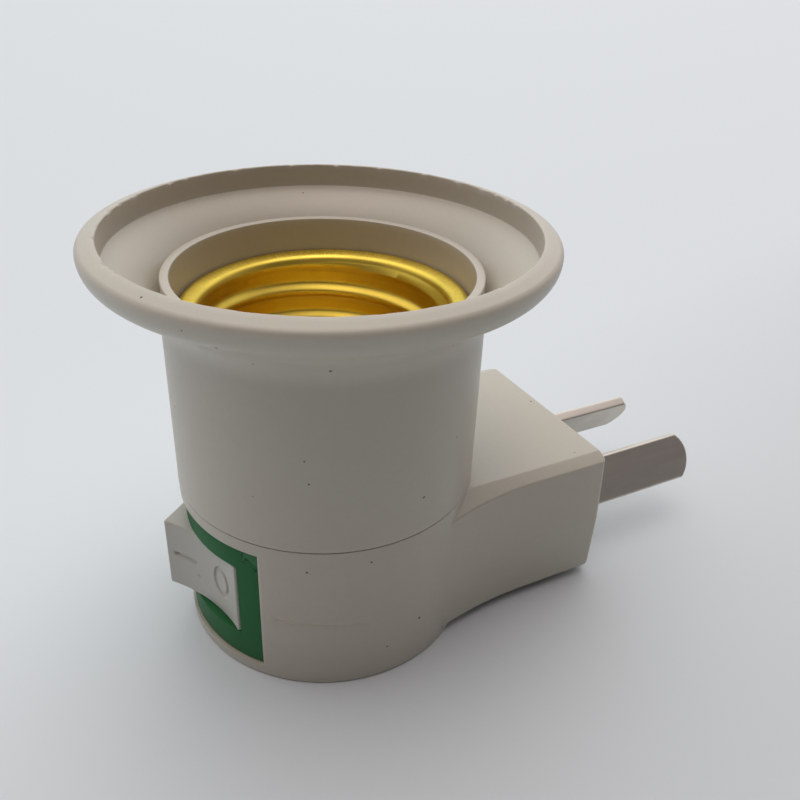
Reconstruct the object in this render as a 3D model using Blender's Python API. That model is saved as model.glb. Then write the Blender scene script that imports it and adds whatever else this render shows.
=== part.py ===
"""Plug-in lamp socket adapter: screw socket on top, two flat blades at the side, rocker switch opposite them.

Metres, +Z up along the socket. The origin is the centre of the drum's base, the blades point
along +X and the switch faces -X. The switch is modelled in its off position.
"""

import math

import bmesh
import bpy
from mathutils import Matrix, Vector

# Clearances
SEAT = 0.0003  # between pieces that rest on each other
SEAM = 0.00012  # the line between the two housings
RUNNING = 0.00045  # above and below the rocker

# Lower housing: a drum with the plug block on its side
DRUM_STEP = 0.00005  # the tube stands out from the drum
DRUM_DRAFT = 0.0002
DRUM_WALL = 0.0015
FLOOR = 0.0016
PARTING_HEIGHT = 0.0094
SEAM_HEIGHT = 0.0192
BLOCK_END = 0.0321
BLOCK_HALF_WIDTH = 0.01365
BLOCK_DRAFT = 0.0004
BLOCK_UNDERSIDE = 0.0009
BLOCK_TOP_DROP = 0.00055  # below the seam
TOP_CHAMFER_WIDTH = 0.00195
TOP_CHAMFER_SLOPE = 0.47
EDGE_CHAMFER = 0.0007
BLOCK_CORNER_RADIUS = 0.0008
BLEND_RADIUS = 0.050
BLEND_SINK = 0.00012
BLOCK_WALL = 0.0016
BLOCK_END_WALL = 0.0018
RIB_DEPTH = 0.0015
RIB_THICKNESS = 0.0012
RIB_ANGLES = (60, 90, 120, 240, 270, 300)

# Window in the drum and the switch frame that fills it
WINDOW_HALF_ANGLE = 41.2
WINDOW_BOTTOM = 0.00185
WINDOW_TOP = 0.0175
FRAME_RECESS = 0.00045  # face of the green frame below the drum's skin
FRAME_PLATE = 0.00155
FLANGE_THICKNESS = 0.0017
FLANGE_OVERLAP_ANGLE = 2.4
FRAME_WALL = 0.0010
OPENING_HALF_WIDTH = 0.0088
CHAMBER_HALF_WIDTH = 0.0070
CHAMBER_STEP_DEPTH = 0.0080  # all depths from the drum's skin
CHAMBER_DEPTH = 0.0152

# Rocker, turning on a vertical pivot
PIVOT_DEPTH = 0.00685
ROCKER_ANGLE = 22.3
ROCKER_REACH = 0.0072
ROCKER_HALF_LENGTH = 0.00617
ROCKER_DISH = 0.0010
ROCKER_FLANK_ANGLE = 17.4
ROCKER_FLANK = 0.0042
ROCKER_HEIGHT = 0.00925
ROCKER_MID = 0.00968
ROCKER_EDGE = 0.00025
HUB_RADIUS = 0.0026
PIN_RADIUS = 0.0010
NOSE_HALF_WIDTH = 0.0022
NOSE_REACH = 0.0034
PLUNGER_RADIUS = 0.0010
PLUNGER_REACH = 0.0053
PLUNGER_LENGTH = 0.0040
SPRING_RADIUS = 0.00085
SPRING_WIRE = 0.00018
SPRING_TURNS = 5
PLUNGER_BORE_DEPTH = 0.0016  # behind the pivot

# Contact lever, terminals and contacts
LEVER_OFFSET = 0.00585  # from the rocker's pivot
LEVER_ANGLE = 7.8
LEVER_HALF_LENGTH = 0.0054
LEVER_BEND = 0.0010
LEVER_THICKNESS = 0.0005
LEVER_HEIGHT = 0.0066
CONTACT_OFFSET = 0.0049
CONTACT_RADIUS = 0.0013
CONTACT_THICKNESS = 0.0007
FIXED_CONTACT_OFFSET = 0.00102  # from the lever's pivot
FIXED_CONTACT_THICKNESS = 0.00053
TERMINAL_THICKNESS = 0.0004
CRADLE_OFFSET = 0.0006
TAB_REACH = 0.0030
TAB_HEIGHT = 0.0034
TERMINAL_WIDTH = 0.0032
EAR_WIDTH = 0.0024
EAR_REACH = 0.0014

# Blades and their holder
BLADE_WIDTH = 0.00635
BLADE_THICKNESS = 0.00155
BLADE_SPACING = 0.0137
BLADE_TILT = 30.0
BLADE_HEIGHT = 0.0093
BLADE_TIP = 0.0531
BLADE_TIP_RADIUS = 0.0040
BLADE_TAIL = 0.0205
BLADE_FIT = 0.00015
SOLDER_HOLE_RADIUS = 0.0009
HOLDER_START = 0.0230

# Contact carrier and what is fastened to it
CARRIER_DROP = 0.0029  # underside below the seam
CARRIER_THICKNESS = 0.0020
CARRIER_CLEARANCE = 0.0008
POST_RADIUS = 0.0026
POST_INSET = 0.0034  # from the screw shell's wall
POST_ANGLE = 62.4
SCREW_RADIUS = 0.00135
SCREW_HEAD_RADIUS = 0.0022
SCREW_HEAD_HEIGHT = 0.0013
SCREW_LENGTH = 0.0115
RIVET_RADIUS = 0.00105
RIVET_HEAD_RADIUS = 0.0017
RIVET_HEAD_HEIGHT = 0.0006
CENTRE_RIVET_INSET = 0.0033
SHELL_RIVET_INSET = 0.0029
CONTACT_STRIP_WIDTH = 0.0050
CONTACT_STRIP_THICKNESS = 0.0004
CONTACT_STRIP_RISE = 0.0036
CONTACT_STRIP_REACH = 0.0063
WIRE_RADIUS = 0.0009
WIRE_STUB = 0.0022
WIRE_SAG = 0.0009

# Screw shell
SHELL_RADIUS = 0.0131
SHELL_WALL = 0.0004
SHELL_RECESS = 0.0039  # lip below the collar's top
LIP_REACH = 0.00255
LIP_ROLL = 0.00065
SHELL_FLARE_HEIGHT = 0.0022
FLANGE_WIDTH = 0.0061
SHELL_FOOT = 0.0012  # plain wall below the thread
THREAD_PITCH = 0.00363
THREAD_DEPTH = 0.0009
THREAD_GROOVE = 0.00035  # how far the grooves stand out from the plain wall
THREAD_CREST_DEPTH = 0.00497  # from the lip down to a crest on the +X side
THREAD_WAVE = (1.0, 0.42, 0.0, 0.42)  # crest, flank, groove, flank
SHELL_ROUND = 32

# Upper shell
LIP_CLEARANCE = 0.00032
TUBE_WALL = 0.00128
COLLAR_WALL = 0.00083
SPIGOT_WALL = 0.0010
SPIGOT_RISE = 0.0023
COLLAR_DEPTH = 0.00345  # all depths from the bead's centre
GROOVE_DEPTH = 0.0062
GROOVE_WIDTH = 0.0003
FLARE_ANGLE = 33.0
FLARE_FILLET = 0.0046
BEAD_RADIUS = 0.00135
BEAD_REACH = 0.00587  # from the tube's skin
BEAD_HANG = 0.0026  # underside below the bead's centre
BEAD_DEPTH = 0.0024  # underside inside the bead's rim
BEAD_CENTRE_HEIGHT = 0.04695
LIP_LAND = 0.0007
MOUTH_DEPTH = 0.00127
FLOOR_CORNER_REACH = 0.0015
FLOOR_CORNER_DEPTH = 0.00315

# Facets round a full turn
ROUND = 64
SMALL_ROUND = 20

shell_lip_radius = SHELL_RADIUS + LIP_REACH
socket_bore = shell_lip_radius + LIP_CLEARANCE
collar_radius = socket_bore + COLLAR_WALL
floor_corner_radius = collar_radius + FLOOR_CORNER_REACH
tube_radius = socket_bore + TUBE_WALL
bead_centre_radius = tube_radius + BEAD_REACH
mouth_radius = bead_centre_radius - LIP_LAND
drum_radius = tube_radius - DRUM_STEP
drum_base_radius = drum_radius - DRUM_DRAFT
drum_bore = drum_radius - DRUM_WALL
spigot_bore = drum_bore - SEAT - SPIGOT_WALL
spigot_step = SEAM_HEIGHT + SPIGOT_RISE
rib_inner = drum_bore - RIB_DEPTH
carrier_radius = drum_bore - CARRIER_CLEARANCE
carrier_bottom = SEAM_HEIGHT - CARRIER_DROP
block_top = SEAM_HEIGHT - BLOCK_TOP_DROP
block_top_half = BLOCK_HALF_WIDTH - TOP_CHAMFER_WIDTH
frame_radius = drum_radius - FRAME_RECESS
chamber_step = CHAMBER_STEP_DEPTH - drum_radius
chamber_back = CHAMBER_DEPTH - drum_radius
pivot_x = PIVOT_DEPTH - drum_radius
lever_x = pivot_x + LEVER_OFFSET
fixed_contact_x = lever_x + FIXED_CONTACT_OFFSET
cradle_x = lever_x + CRADLE_OFFSET
tab_end = chamber_back + TAB_REACH
post_x = (SHELL_RADIUS - POST_INSET) * math.cos(math.radians(POST_ANGLE))
post_y = (SHELL_RADIUS - POST_INSET) * math.sin(math.radians(POST_ANGLE))
flange_bore = SHELL_RADIUS - FLANGE_WIDTH
centre_rivet_x = flange_bore - CENTRE_RIVET_INSET
shell_rivet_x = SHELL_RADIUS - SHELL_RIVET_INSET
collar_top = BEAD_CENTRE_HEIGHT - COLLAR_DEPTH
groove_bottom = BEAD_CENTRE_HEIGHT - GROOVE_DEPTH
shell_top = collar_top - SHELL_RECESS
carrier_top = carrier_bottom + CARRIER_THICKNESS
flange_bottom = carrier_top + SEAT
flange_top = flange_bottom + SHELL_WALL
opening_bottom = ROCKER_MID - ROCKER_HEIGHT / 2 - RUNNING
opening_top = ROCKER_MID + ROCKER_HEIGHT / 2 + RUNNING
IVORY = (0.58, 0.55, 0.47)


def clear_scene():
    for obj in list(bpy.data.objects):
        bpy.data.objects.remove(obj, do_unlink=True)


def material(name, colour, roughness, metallic=0.0):
    made = bpy.data.materials.new(name)
    made.use_nodes = True
    shader = made.node_tree.nodes["Principled BSDF"]
    shader.inputs["Base Color"].default_value = (*colour, 1.0)
    shader.inputs["Roughness"].default_value = roughness
    shader.inputs["Metallic"].default_value = metallic
    made.diffuse_color = (*colour, 1.0)
    return made


def piece(name, bm, made_of=None, parent=None):
    """Turns a bmesh into an object, in a parent's frame where one is given."""
    bmesh.ops.remove_doubles(bm, verts=bm.verts, dist=1e-7)
    bmesh.ops.recalc_face_normals(bm, faces=bm.faces)
    mesh = bpy.data.meshes.new(name)
    bm.to_mesh(mesh)
    bm.free()
    mesh.shade_smooth()
    mesh.set_sharp_from_angle(angle=math.radians(35))
    obj = bpy.data.objects.new(name, mesh)
    bpy.context.scene.collection.objects.link(obj)
    if made_of:
        mesh.materials.append(made_of)
    obj.parent = parent
    return obj


def tool(name, bm, parent=None):
    """A cutter or an added form, which stays out of the render."""
    obj = piece(name, bm, parent=parent)
    obj.hide_render = True
    obj.display_type = "WIRE"
    return obj


def combine(target, other, operation):
    step = target.modifiers.new(other.name, "BOOLEAN")
    step.operation = operation
    step.object = other
    step.solver = "EXACT"


def cut(target, other):
    combine(target, other, "DIFFERENCE")


def add(target, other):
    combine(target, other, "UNION")


def axis_empty(name, place, degrees):
    empty = bpy.data.objects.new(name, None)
    empty.location = place
    empty.rotation_euler = (0, 0, math.radians(degrees))
    bpy.context.scene.collection.objects.link(empty)
    return empty


def turned(profile, centre=(0.0, 0.0), facets=ROUND):
    """Spins (radius, height) points about a vertical axis. A profile that ends on the axis stays open there."""
    bm = bmesh.new()
    points = [bm.verts.new((radius, 0, height)) for radius, height in profile]
    on_axis = profile[0][0] == 0 and profile[-1][0] == 0
    last = len(points) - 1 if on_axis else len(points)
    edges = [bm.edges.new((points[i], points[(i + 1) % len(points)])) for i in range(last)]
    bmesh.ops.spin(
        bm, geom=points + edges, cent=(0, 0, 0), axis=(0, 0, 1), angle=math.tau, steps=facets,
        use_merge=True,
    )
    bmesh.ops.translate(bm, verts=bm.verts, vec=(centre[0], centre[1], 0))
    return bm


def cylinder(radius, bottom, top, centre=(0.0, 0.0), facets=SMALL_ROUND):
    return turned([(0, bottom), (radius, bottom), (radius, top), (0, top)], centre, facets)


def prism(outline, bottom, top):
    """Extrudes a plan outline between two heights."""
    bm = bmesh.new()
    face = bm.faces.new([bm.verts.new((x, y, bottom)) for x, y in outline])
    raised = bmesh.ops.extrude_face_region(bm, geom=[face])["geom"]
    bmesh.ops.translate(
        bm, verts=[v for v in raised if isinstance(v, bmesh.types.BMVert)], vec=(0, 0, top - bottom)
    )
    return bm


def loft(rings):
    """Joins rings of equally many points and closes both ends."""
    bm = bmesh.new()
    made = [[bm.verts.new(point) for point in ring] for ring in rings]
    count = len(made[0])
    for lower, upper in zip(made, made[1:]):
        for i in range(count):
            j = (i + 1) % count
            bm.faces.new((lower[i], lower[j], upper[j], upper[i]))
    bm.faces.new(made[0])
    bm.faces.new(made[-1])
    return bm


def box(low, high):
    corners = [(low[0], low[1]), (high[0], low[1]), (high[0], high[1]), (low[0], high[1])]
    return prism(corners, low[2], high[2])


def arc(centre, radius, start, end, steps):
    """Points on a circle from one angle to another, in degrees."""
    angles = [math.radians(start + (end - start) * i / steps) for i in range(steps + 1)]
    return [(centre[0] + radius * math.cos(a), centre[1] + radius * math.sin(a)) for a in angles]


def sector(inner, outer, half_angle, bottom, top, steps=14):
    """A piece of a ring centred on -X."""
    outline = arc((0, 0), outer, 180 - half_angle, 180 + half_angle, steps)
    outline += arc((0, 0), inner, 180 + half_angle, 180 - half_angle, steps)
    return prism(outline, bottom, top)


def strip_outline(line, thickness):
    """Both sides of a bent strip that follows a line of points."""
    left, right = [], []
    for i, point in enumerate(line):
        before = Vector(line[max(i - 1, 0)])
        after = Vector(line[min(i + 1, len(line) - 1)])
        along = (after - before).normalized()
        side = Vector((-along.y, along.x)) * thickness / 2
        left.append(tuple(Vector(point) + side))
        right.append(tuple(Vector(point) - side))
    return left + right[::-1]


def upright(bm, half_width):
    """Stands a plan prism up, so that its plan becomes the X-Z side view."""
    turn = Matrix.Rotation(math.pi / 2, 3, "X")
    bmesh.ops.rotate(bm, verts=bm.verts, cent=(0, 0, 0), matrix=turn)
    bmesh.ops.translate(bm, verts=bm.verts, vec=(0, half_width, 0))
    return bm


def block_outline(half_width, end):
    """Plan of the plug block: a long concave blend from the drum, a straight side and a rounded corner."""
    seat = drum_radius - BLEND_SINK
    centre_y = -half_width - BLEND_RADIUS
    centre_x = math.sqrt((seat + BLEND_RADIUS) ** 2 - centre_y**2)
    start = math.degrees(math.atan2(-centre_y, -centre_x))
    side = arc((centre_x, centre_y), BLEND_RADIUS, start, 90, 10)
    corner_at = (end - BLOCK_CORNER_RADIUS, BLOCK_CORNER_RADIUS - half_width)
    side += arc(corner_at, BLOCK_CORNER_RADIUS, -90, 0, 3)
    return side + [(x, -y) for x, y in reversed(side)]


def plug_block():
    """The block drafts both ways from the parting line, and its top and bottom edges are chamfered."""
    draft = BLOCK_DRAFT
    rings = []
    for height, lost in (
        (BLOCK_UNDERSIDE, draft),
        (PARTING_HEIGHT, 0.0),
        (block_top, draft),
    ):
        outline = block_outline(BLOCK_HALF_WIDTH - lost, BLOCK_END)
        rings.append([(x, y, height) for x, y in outline])
    bm = loft(rings)
    for side in (-1, 1):
        chamfers = (
            ((0, side * block_top_half, block_top), (0, side * TOP_CHAMFER_SLOPE, 1)),
            ((0, side * (BLOCK_HALF_WIDTH - draft - EDGE_CHAMFER), BLOCK_UNDERSIDE), (0, side, -1)),
        )
        for point, normal in chamfers:
            slice_off(bm, point, normal)
    slice_off(bm, (BLOCK_END - EDGE_CHAMFER, 0, BLOCK_UNDERSIDE), (1, 0, -1))
    slice_off(bm, (BLOCK_END - EDGE_CHAMFER / 2, 0, block_top), (1, 0, 1))
    return bm


def slice_off(bm, point, normal):
    """Cuts away what lies beyond a plane and closes the cut."""
    geometry = bm.verts[:] + bm.edges[:] + bm.faces[:]
    made = bmesh.ops.bisect_plane(
        bm, geom=geometry, plane_co=point, plane_no=normal, clear_outer=True, dist=1e-8
    )
    rim = [edge for edge in made["geom_cut"] if isinstance(edge, bmesh.types.BMEdge)]
    bmesh.ops.edgenet_fill(bm, edges=rim)


def blade_slot(side, thickness, width, start, end):
    """An inclined slot or bar for one blade."""
    bm = box((start, -thickness / 2, -width / 2), (end, thickness / 2, width / 2))
    place_blade(bm, side)
    return bm


def place_blade(bm, side):
    tilt = Matrix.Rotation(math.radians(side * BLADE_TILT), 3, "X")
    bmesh.ops.rotate(bm, verts=bm.verts, cent=(0, 0, 0), matrix=tilt)
    bmesh.ops.translate(bm, verts=bm.verts, vec=(0, side * BLADE_SPACING / 2, BLADE_HEIGHT))


def lower_housing(plastic):
    top = SEAM_HEIGHT - SEAM / 2
    profile = [
        (0, 0), (drum_base_radius - EDGE_CHAMFER / 3, 0), (drum_base_radius, EDGE_CHAMFER / 3),
        (drum_radius, PARTING_HEIGHT), (drum_radius, top), (0, top),
    ]
    body = piece("lower_housing", turned(profile), plastic)
    add(body, tool("block_form", plug_block()))
    cut(body, tool("drum_hollow", cylinder(drum_bore, FLOOR, top + 0.002, facets=ROUND)))
    hollow_half = BLOCK_HALF_WIDTH - BLOCK_DRAFT - BLOCK_WALL
    low = (drum_bore / 2, -hollow_half, BLOCK_UNDERSIDE + BLOCK_WALL)
    high = (BLOCK_END - BLOCK_END_WALL, hollow_half, block_top - BLOCK_WALL)
    cut(body, tool("block_hollow", box(low, high)))
    window = sector(drum_bore - 0.002, drum_radius + 0.002, WINDOW_HALF_ANGLE, WINDOW_BOTTOM, WINDOW_TOP)
    cut(body, tool("window_cut", window))
    for name, side in (("near", -1), ("far", 1)):
        thickness = BLADE_THICKNESS + 2 * BLADE_FIT
        width = BLADE_WIDTH + 2 * BLADE_FIT
        slot = blade_slot(side, thickness, width, BLOCK_END - 0.004, BLOCK_END + 0.002)
        cut(body, tool(name + "_slot_cut", slot))
        centre = (post_x, side * post_y)
        post_top = carrier_bottom - SEAT
        add(body, tool(name + "_post", cylinder(POST_RADIUS, FLOOR / 2, post_top, centre)))
        hole = cylinder(
            SCREW_RADIUS + SEAT, flange_top + SEAT - SCREW_LENGTH - 0.0016, post_top + 0.001, centre, 12
        )
        cut(body, tool(name + "_post_hole", hole))
    for angle in RIB_ANGLES:
        half = RIB_THICKNESS / 2
        rib = box(
            (rib_inner, -half, FLOOR / 2), (drum_bore + DRUM_WALL / 2, half, carrier_bottom - SEAT)
        )
        bmesh.ops.rotate(
            rib, verts=rib.verts, cent=(0, 0, 0), matrix=Matrix.Rotation(math.radians(angle), 3, "Z")
        )
        add(body, tool(f"rib_{angle}", rib))


def switch_frame(plastic):
    """The green insert: a curved face plate in the window, a flange behind it and the switch chamber."""
    plate_inner = frame_radius - FRAME_PLATE
    flange_outer = drum_bore - SEAT
    margin = math.degrees(SEAT / frame_radius)
    face = sector(
        plate_inner, frame_radius, WINDOW_HALF_ANGLE - margin, WINDOW_BOTTOM + SEAT, WINDOW_TOP - SEAT
    )
    body = piece("switch_frame", face, plastic)
    under_carrier = carrier_bottom - SEAT
    flange = sector(
        flange_outer - FLANGE_THICKNESS, flange_outer, WINDOW_HALF_ANGLE + FLANGE_OVERLAP_ANGLE,
        FLOOR + SEAT, under_carrier - 0.0001,
    )
    add(body, tool("flange_form", flange))
    half = OPENING_HALF_WIDTH + FRAME_WALL
    radius = flange_outer - FLANGE_THICKNESS / 3
    spread = math.degrees(math.asin(half / radius))
    outline = arc((0, 0), radius, 180 - spread, 180 + spread, 12)
    outline += [(chamber_step + FRAME_WALL, -half), (chamber_step + FRAME_WALL, half)]
    low = opening_bottom - FRAME_WALL
    high = opening_top + FRAME_WALL
    add(body, tool("pocket_form", prism(outline, low, high)))
    rear = CHAMBER_HALF_WIDTH + FRAME_WALL
    chamber = box((chamber_step, -rear, low), (chamber_back + FRAME_WALL, rear, high))
    add(body, tool("chamber_form", chamber))
    mouth = box(
        (-drum_radius - 0.002, -OPENING_HALF_WIDTH, opening_bottom),
        (chamber_step, OPENING_HALF_WIDTH, opening_top),
    )
    cut(body, tool("mouth_cut", mouth))
    inside = box(
        (chamber_step - 0.001, -CHAMBER_HALF_WIDTH, opening_bottom),
        (chamber_back, CHAMBER_HALF_WIDTH, opening_top),
    )
    cut(body, tool("chamber_cut", inside))
    bearing = cylinder(PIN_RADIUS + SEAT, low - 0.001, high + 0.001, (pivot_x, 0), 16)
    cut(body, tool("bearing_cut", bearing))
    for name, centre in (("common", 0.0), ("load", -CONTACT_OFFSET)):
        slot = box(
            (chamber_back - 0.001, centre - TERMINAL_THICKNESS / 2 - SEAT, ROCKER_MID - TAB_HEIGHT / 2 - SEAT),
            (chamber_back + 0.002, centre + TERMINAL_THICKNESS / 2 + SEAT, ROCKER_MID + TAB_HEIGHT / 2 + SEAT),
        )
        cut(body, tool(name + "_slot_cut", slot))


def rocker_outline():
    """Plan of the rocker about its pivot: dished front, sloping flanks, hub and nose."""
    reach, half, dish = ROCKER_REACH, ROCKER_HALF_LENGTH, ROCKER_DISH
    radius = (half**2 + dish**2) / (2 * dish)
    swing = math.degrees(math.asin(half / radius))
    centre = (-reach + dish - radius, 0.0)
    front = arc(centre, radius, -swing, swing, 12)
    slope = math.radians(ROCKER_FLANK_ANGLE)
    flank = (-reach + ROCKER_FLANK * math.cos(slope), half + ROCKER_FLANK * math.sin(slope))
    inset = (flank[0] + 0.0006, flank[1] - 0.0004)
    hub = arc((0, 0), HUB_RADIUS, 110, 60, 3)
    nose = [(NOSE_REACH - 0.0012, NOSE_HALF_WIDTH), (NOSE_REACH, NOSE_HALF_WIDTH - 0.0007)]
    upper = [flank, inset] + hub + nose
    return front + upper + [(x, -y) for x, y in reversed(upper)]


def rocker_group(ivory, metal, steel):
    axis = axis_empty("rocker_axis", (pivot_x, 0, ROCKER_MID), ROCKER_ANGLE)
    half = ROCKER_HEIGHT / 2
    bm = prism(rocker_outline(), -half, half)
    bmesh.ops.remove_doubles(bm, verts=bm.verts, dist=1e-7)
    rim = [e for e in bm.edges if abs(e.verts[0].co.z - e.verts[1].co.z) < 1e-9]
    bmesh.ops.bevel(bm, geom=rim, offset=ROCKER_EDGE, segments=1, profile=0.5, affect="EDGES")
    rocker = piece("rocker", bm, ivory, axis)
    pin_end = half + RUNNING + FRAME_WALL - SEAT
    add(rocker, tool("rocker_pins", cylinder(PIN_RADIUS, -pin_end, pin_end, facets=16), axis))
    bore = rod(PLUNGER_RADIUS + SEAT / 2, -PLUNGER_BORE_DEPTH, NOSE_REACH + 0.001)
    cut(rocker, tool("plunger_bore", bore, axis))
    tail = PLUNGER_REACH - PLUNGER_LENGTH
    piece("switch_plunger", plunger(tail), metal, axis)
    spring_start = -PLUNGER_BORE_DEPTH + SEAT
    piece("plunger_spring", coil(spring_start + SPRING_WIRE, tail - SEAT / 2 - SPRING_WIRE), steel, axis)


def rod(radius, start, end, facets=12):
    """A cylinder along X."""
    bm = cylinder(radius, start, end, facets=facets)
    bmesh.ops.rotate(
        bm, verts=bm.verts, cent=(0, 0, 0), matrix=Matrix.Rotation(math.pi / 2, 3, "Y")
    )
    return bm


def plunger(tail):
    """A pin along X with a round nose."""
    radius = PLUNGER_RADIUS
    nose = [
        (radius * math.cos(a), PLUNGER_REACH - radius + radius * math.sin(a))
        for a in (0, math.pi / 6, math.pi / 3)
    ]
    bm = turned([(0, tail), (radius, tail)] + nose + [(0, PLUNGER_REACH)], facets=12)
    bmesh.ops.rotate(
        bm, verts=bm.verts, cent=(0, 0, 0), matrix=Matrix.Rotation(math.pi / 2, 3, "Y")
    )
    return bm


def coil(start, end):
    """A compression spring along X, six-sided in section."""
    per_turn = 12
    count = SPRING_TURNS * per_turn
    rings = []
    for i in range(count + 1):
        angle = math.tau * i / per_turn
        out = Vector((0, math.cos(angle), math.sin(angle)))
        centre = out * SPRING_RADIUS + Vector((start + (end - start) * i / count, 0, 0))
        ring = []
        for k in range(6):
            turn = math.tau * k / 6
            ring.append(centre + SPRING_WIRE * (out * math.cos(turn) + Vector((math.sin(turn), 0, 0))))
        rings.append(ring)
    return loft(rings)


def lever_group(copper, silver):
    """The see-saw lever, bent at its middle, with a contact button at the -Y end."""
    axis = axis_empty("lever_axis", (lever_x, 0, ROCKER_MID), -LEVER_ANGLE)
    half = LEVER_HALF_LENGTH
    line = [(-LEVER_BEND, -half), (0, 0), (-LEVER_BEND, half)]
    lever = prism(strip_outline(line, LEVER_THICKNESS), -LEVER_HEIGHT / 2, LEVER_HEIGHT / 2)
    piece("contact_lever", lever, copper, axis)
    slope = math.atan2(LEVER_BEND, half)
    start = LEVER_THICKNESS / 2 + SEAT / 6
    button = rod(CONTACT_RADIUS, start, start + CONTACT_THICKNESS, 14)
    bmesh.ops.rotate(
        button, verts=button.verts, cent=(0, 0, 0), matrix=Matrix.Rotation(-slope, 3, "Z")
    )
    sunk = LEVER_BEND * CONTACT_OFFSET / half
    bmesh.ops.translate(button, verts=button.verts, vec=(-sunk, -CONTACT_OFFSET, 0))
    piece("lever_contact", button, silver, axis)


def common_terminal(brass):
    """The cradle that the lever rocks on, with an ear above and below and a tab through the back wall."""
    thick = TERMINAL_THICKNESS
    half = LEVER_HEIGHT / 2 + SEAT + thick
    ear = EAR_WIDTH / 2
    plate = box(
        (cradle_x, -ear, ROCKER_MID - half), (cradle_x + thick, ear, ROCKER_MID + half)
    )
    body = piece("common_terminal", plate, brass)
    for name, side in (("lower", -1), ("upper", 1)):
        low, high = sorted((side * half, side * (half - thick)))
        form = box(
            (cradle_x - EAR_REACH, -ear, ROCKER_MID + low), (cradle_x + thick / 2, ear, ROCKER_MID + high)
        )
        add(body, tool(name + "_ear", form))
    tab = box(
        (cradle_x + thick / 2, -thick / 2, ROCKER_MID - TAB_HEIGHT / 2),
        (tab_end, thick / 2, ROCKER_MID + TAB_HEIGHT / 2),
    )
    add(body, tool("common_tab", tab))


def load_terminal(brass, silver):
    thick = TERMINAL_THICKNESS
    front = fixed_contact_x + FIXED_CONTACT_THICKNESS + SEAT / 6
    plate = box(
        (front, -CONTACT_OFFSET - TERMINAL_WIDTH / 2, ROCKER_MID - LEVER_HEIGHT / 2),
        (front + thick, -CONTACT_OFFSET + TERMINAL_WIDTH / 2, ROCKER_MID + LEVER_HEIGHT / 2),
    )
    body = piece("load_terminal", plate, brass)
    tab = box(
        (front + thick / 2, -CONTACT_OFFSET - thick / 2, ROCKER_MID - TAB_HEIGHT / 2),
        (tab_end, -CONTACT_OFFSET + thick / 2, ROCKER_MID + TAB_HEIGHT / 2),
    )
    add(body, tool("load_tab", tab))
    button = rod(CONTACT_RADIUS, fixed_contact_x, fixed_contact_x + FIXED_CONTACT_THICKNESS, 14)
    bmesh.ops.translate(button, verts=button.verts, vec=(0, -CONTACT_OFFSET, ROCKER_MID))
    piece("fixed_contact", button, silver)


def blade(name, side, brass):
    """A flat blade with an arched tip and a solder hole in its tail."""
    half = BLADE_WIDTH / 2
    swing = math.degrees(math.asin(half / BLADE_TIP_RADIUS))
    outline = [(BLADE_TAIL, half), (BLADE_TAIL, -half)]
    outline += arc((BLADE_TIP - BLADE_TIP_RADIUS, 0), BLADE_TIP_RADIUS, -swing, swing, 10)
    bm = upright(prism(outline, 0, BLADE_THICKNESS), BLADE_THICKNESS / 2)
    bmesh.ops.remove_doubles(bm, verts=bm.verts, dist=1e-7)
    faces = [f for f in bm.faces if abs(f.normal.y) > 0.9]
    rim = list({e for f in faces for e in f.edges if min(v.co.x for v in e.verts) > BLADE_TAIL + 0.001})
    bmesh.ops.bevel(bm, geom=rim, offset=BLADE_THICKNESS * 0.16, segments=1, affect="EDGES")
    place_blade(bm, side)
    body = piece(name, bm, brass)
    hole = cylinder(SOLDER_HOLE_RADIUS, -0.003, 0.003, facets=12)
    bmesh.ops.rotate(
        hole, verts=hole.verts, cent=(0, 0, 0), matrix=Matrix.Rotation(math.pi / 2, 3, "X")
    )
    bmesh.ops.translate(hole, verts=hole.verts, vec=(BLADE_TAIL + 0.0015, 0, 0))
    place_blade(hole, side)
    cut(body, tool(name + "_hole_cut", hole))


def blade_holder(plastic):
    """The moulded block inside the plug that keys both blades."""
    half = BLOCK_HALF_WIDTH - BLOCK_DRAFT - BLOCK_WALL - SEAT
    low = (HOLDER_START, -half, BLOCK_UNDERSIDE + BLOCK_WALL + SEAT)
    high = (BLOCK_END - BLOCK_END_WALL - SEAT, half, block_top - BLOCK_WALL - SEAT)
    bm = box(low, high)
    bmesh.ops.bevel(bm, geom=bm.edges[:], offset=0.0005, segments=1, affect="EDGES")
    body = piece("blade_holder", bm, plastic)
    for name, side in (("near", -1), ("far", 1)):
        slot = blade_slot(
            side, BLADE_THICKNESS + 2 * BLADE_FIT, BLADE_WIDTH + 2 * BLADE_FIT, low[0] - 0.001, high[0] + 0.001
        )
        cut(body, tool(name + "_key_cut", slot))


def contact_carrier(insulator):
    chamfer = 0.0003
    profile = [
        (0, carrier_bottom), (carrier_radius - chamfer, carrier_bottom),
        (carrier_radius, carrier_bottom + chamfer), (carrier_radius, carrier_top - chamfer),
        (carrier_radius - chamfer, carrier_top), (0, carrier_top),
    ]
    body = piece("contact_carrier", turned(profile, facets=48), insulator)
    for x, y, radius in fastener_holes():
        hole = cylinder(radius, carrier_bottom - 0.001, carrier_top + 0.001, (x, y), 12)
        cut(body, tool("carrier_hole", hole))


def fastener_holes():
    """(x, y, hole radius) of the two screws and the two rivets."""
    return (
        (post_x, -post_y, SCREW_RADIUS + SEAT),
        (post_x, post_y, SCREW_RADIUS + SEAT),
        (centre_rivet_x, 0.0, RIVET_RADIUS + SEAT),
        (shell_rivet_x, 0.0, RIVET_RADIUS + SEAT),
    )


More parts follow.
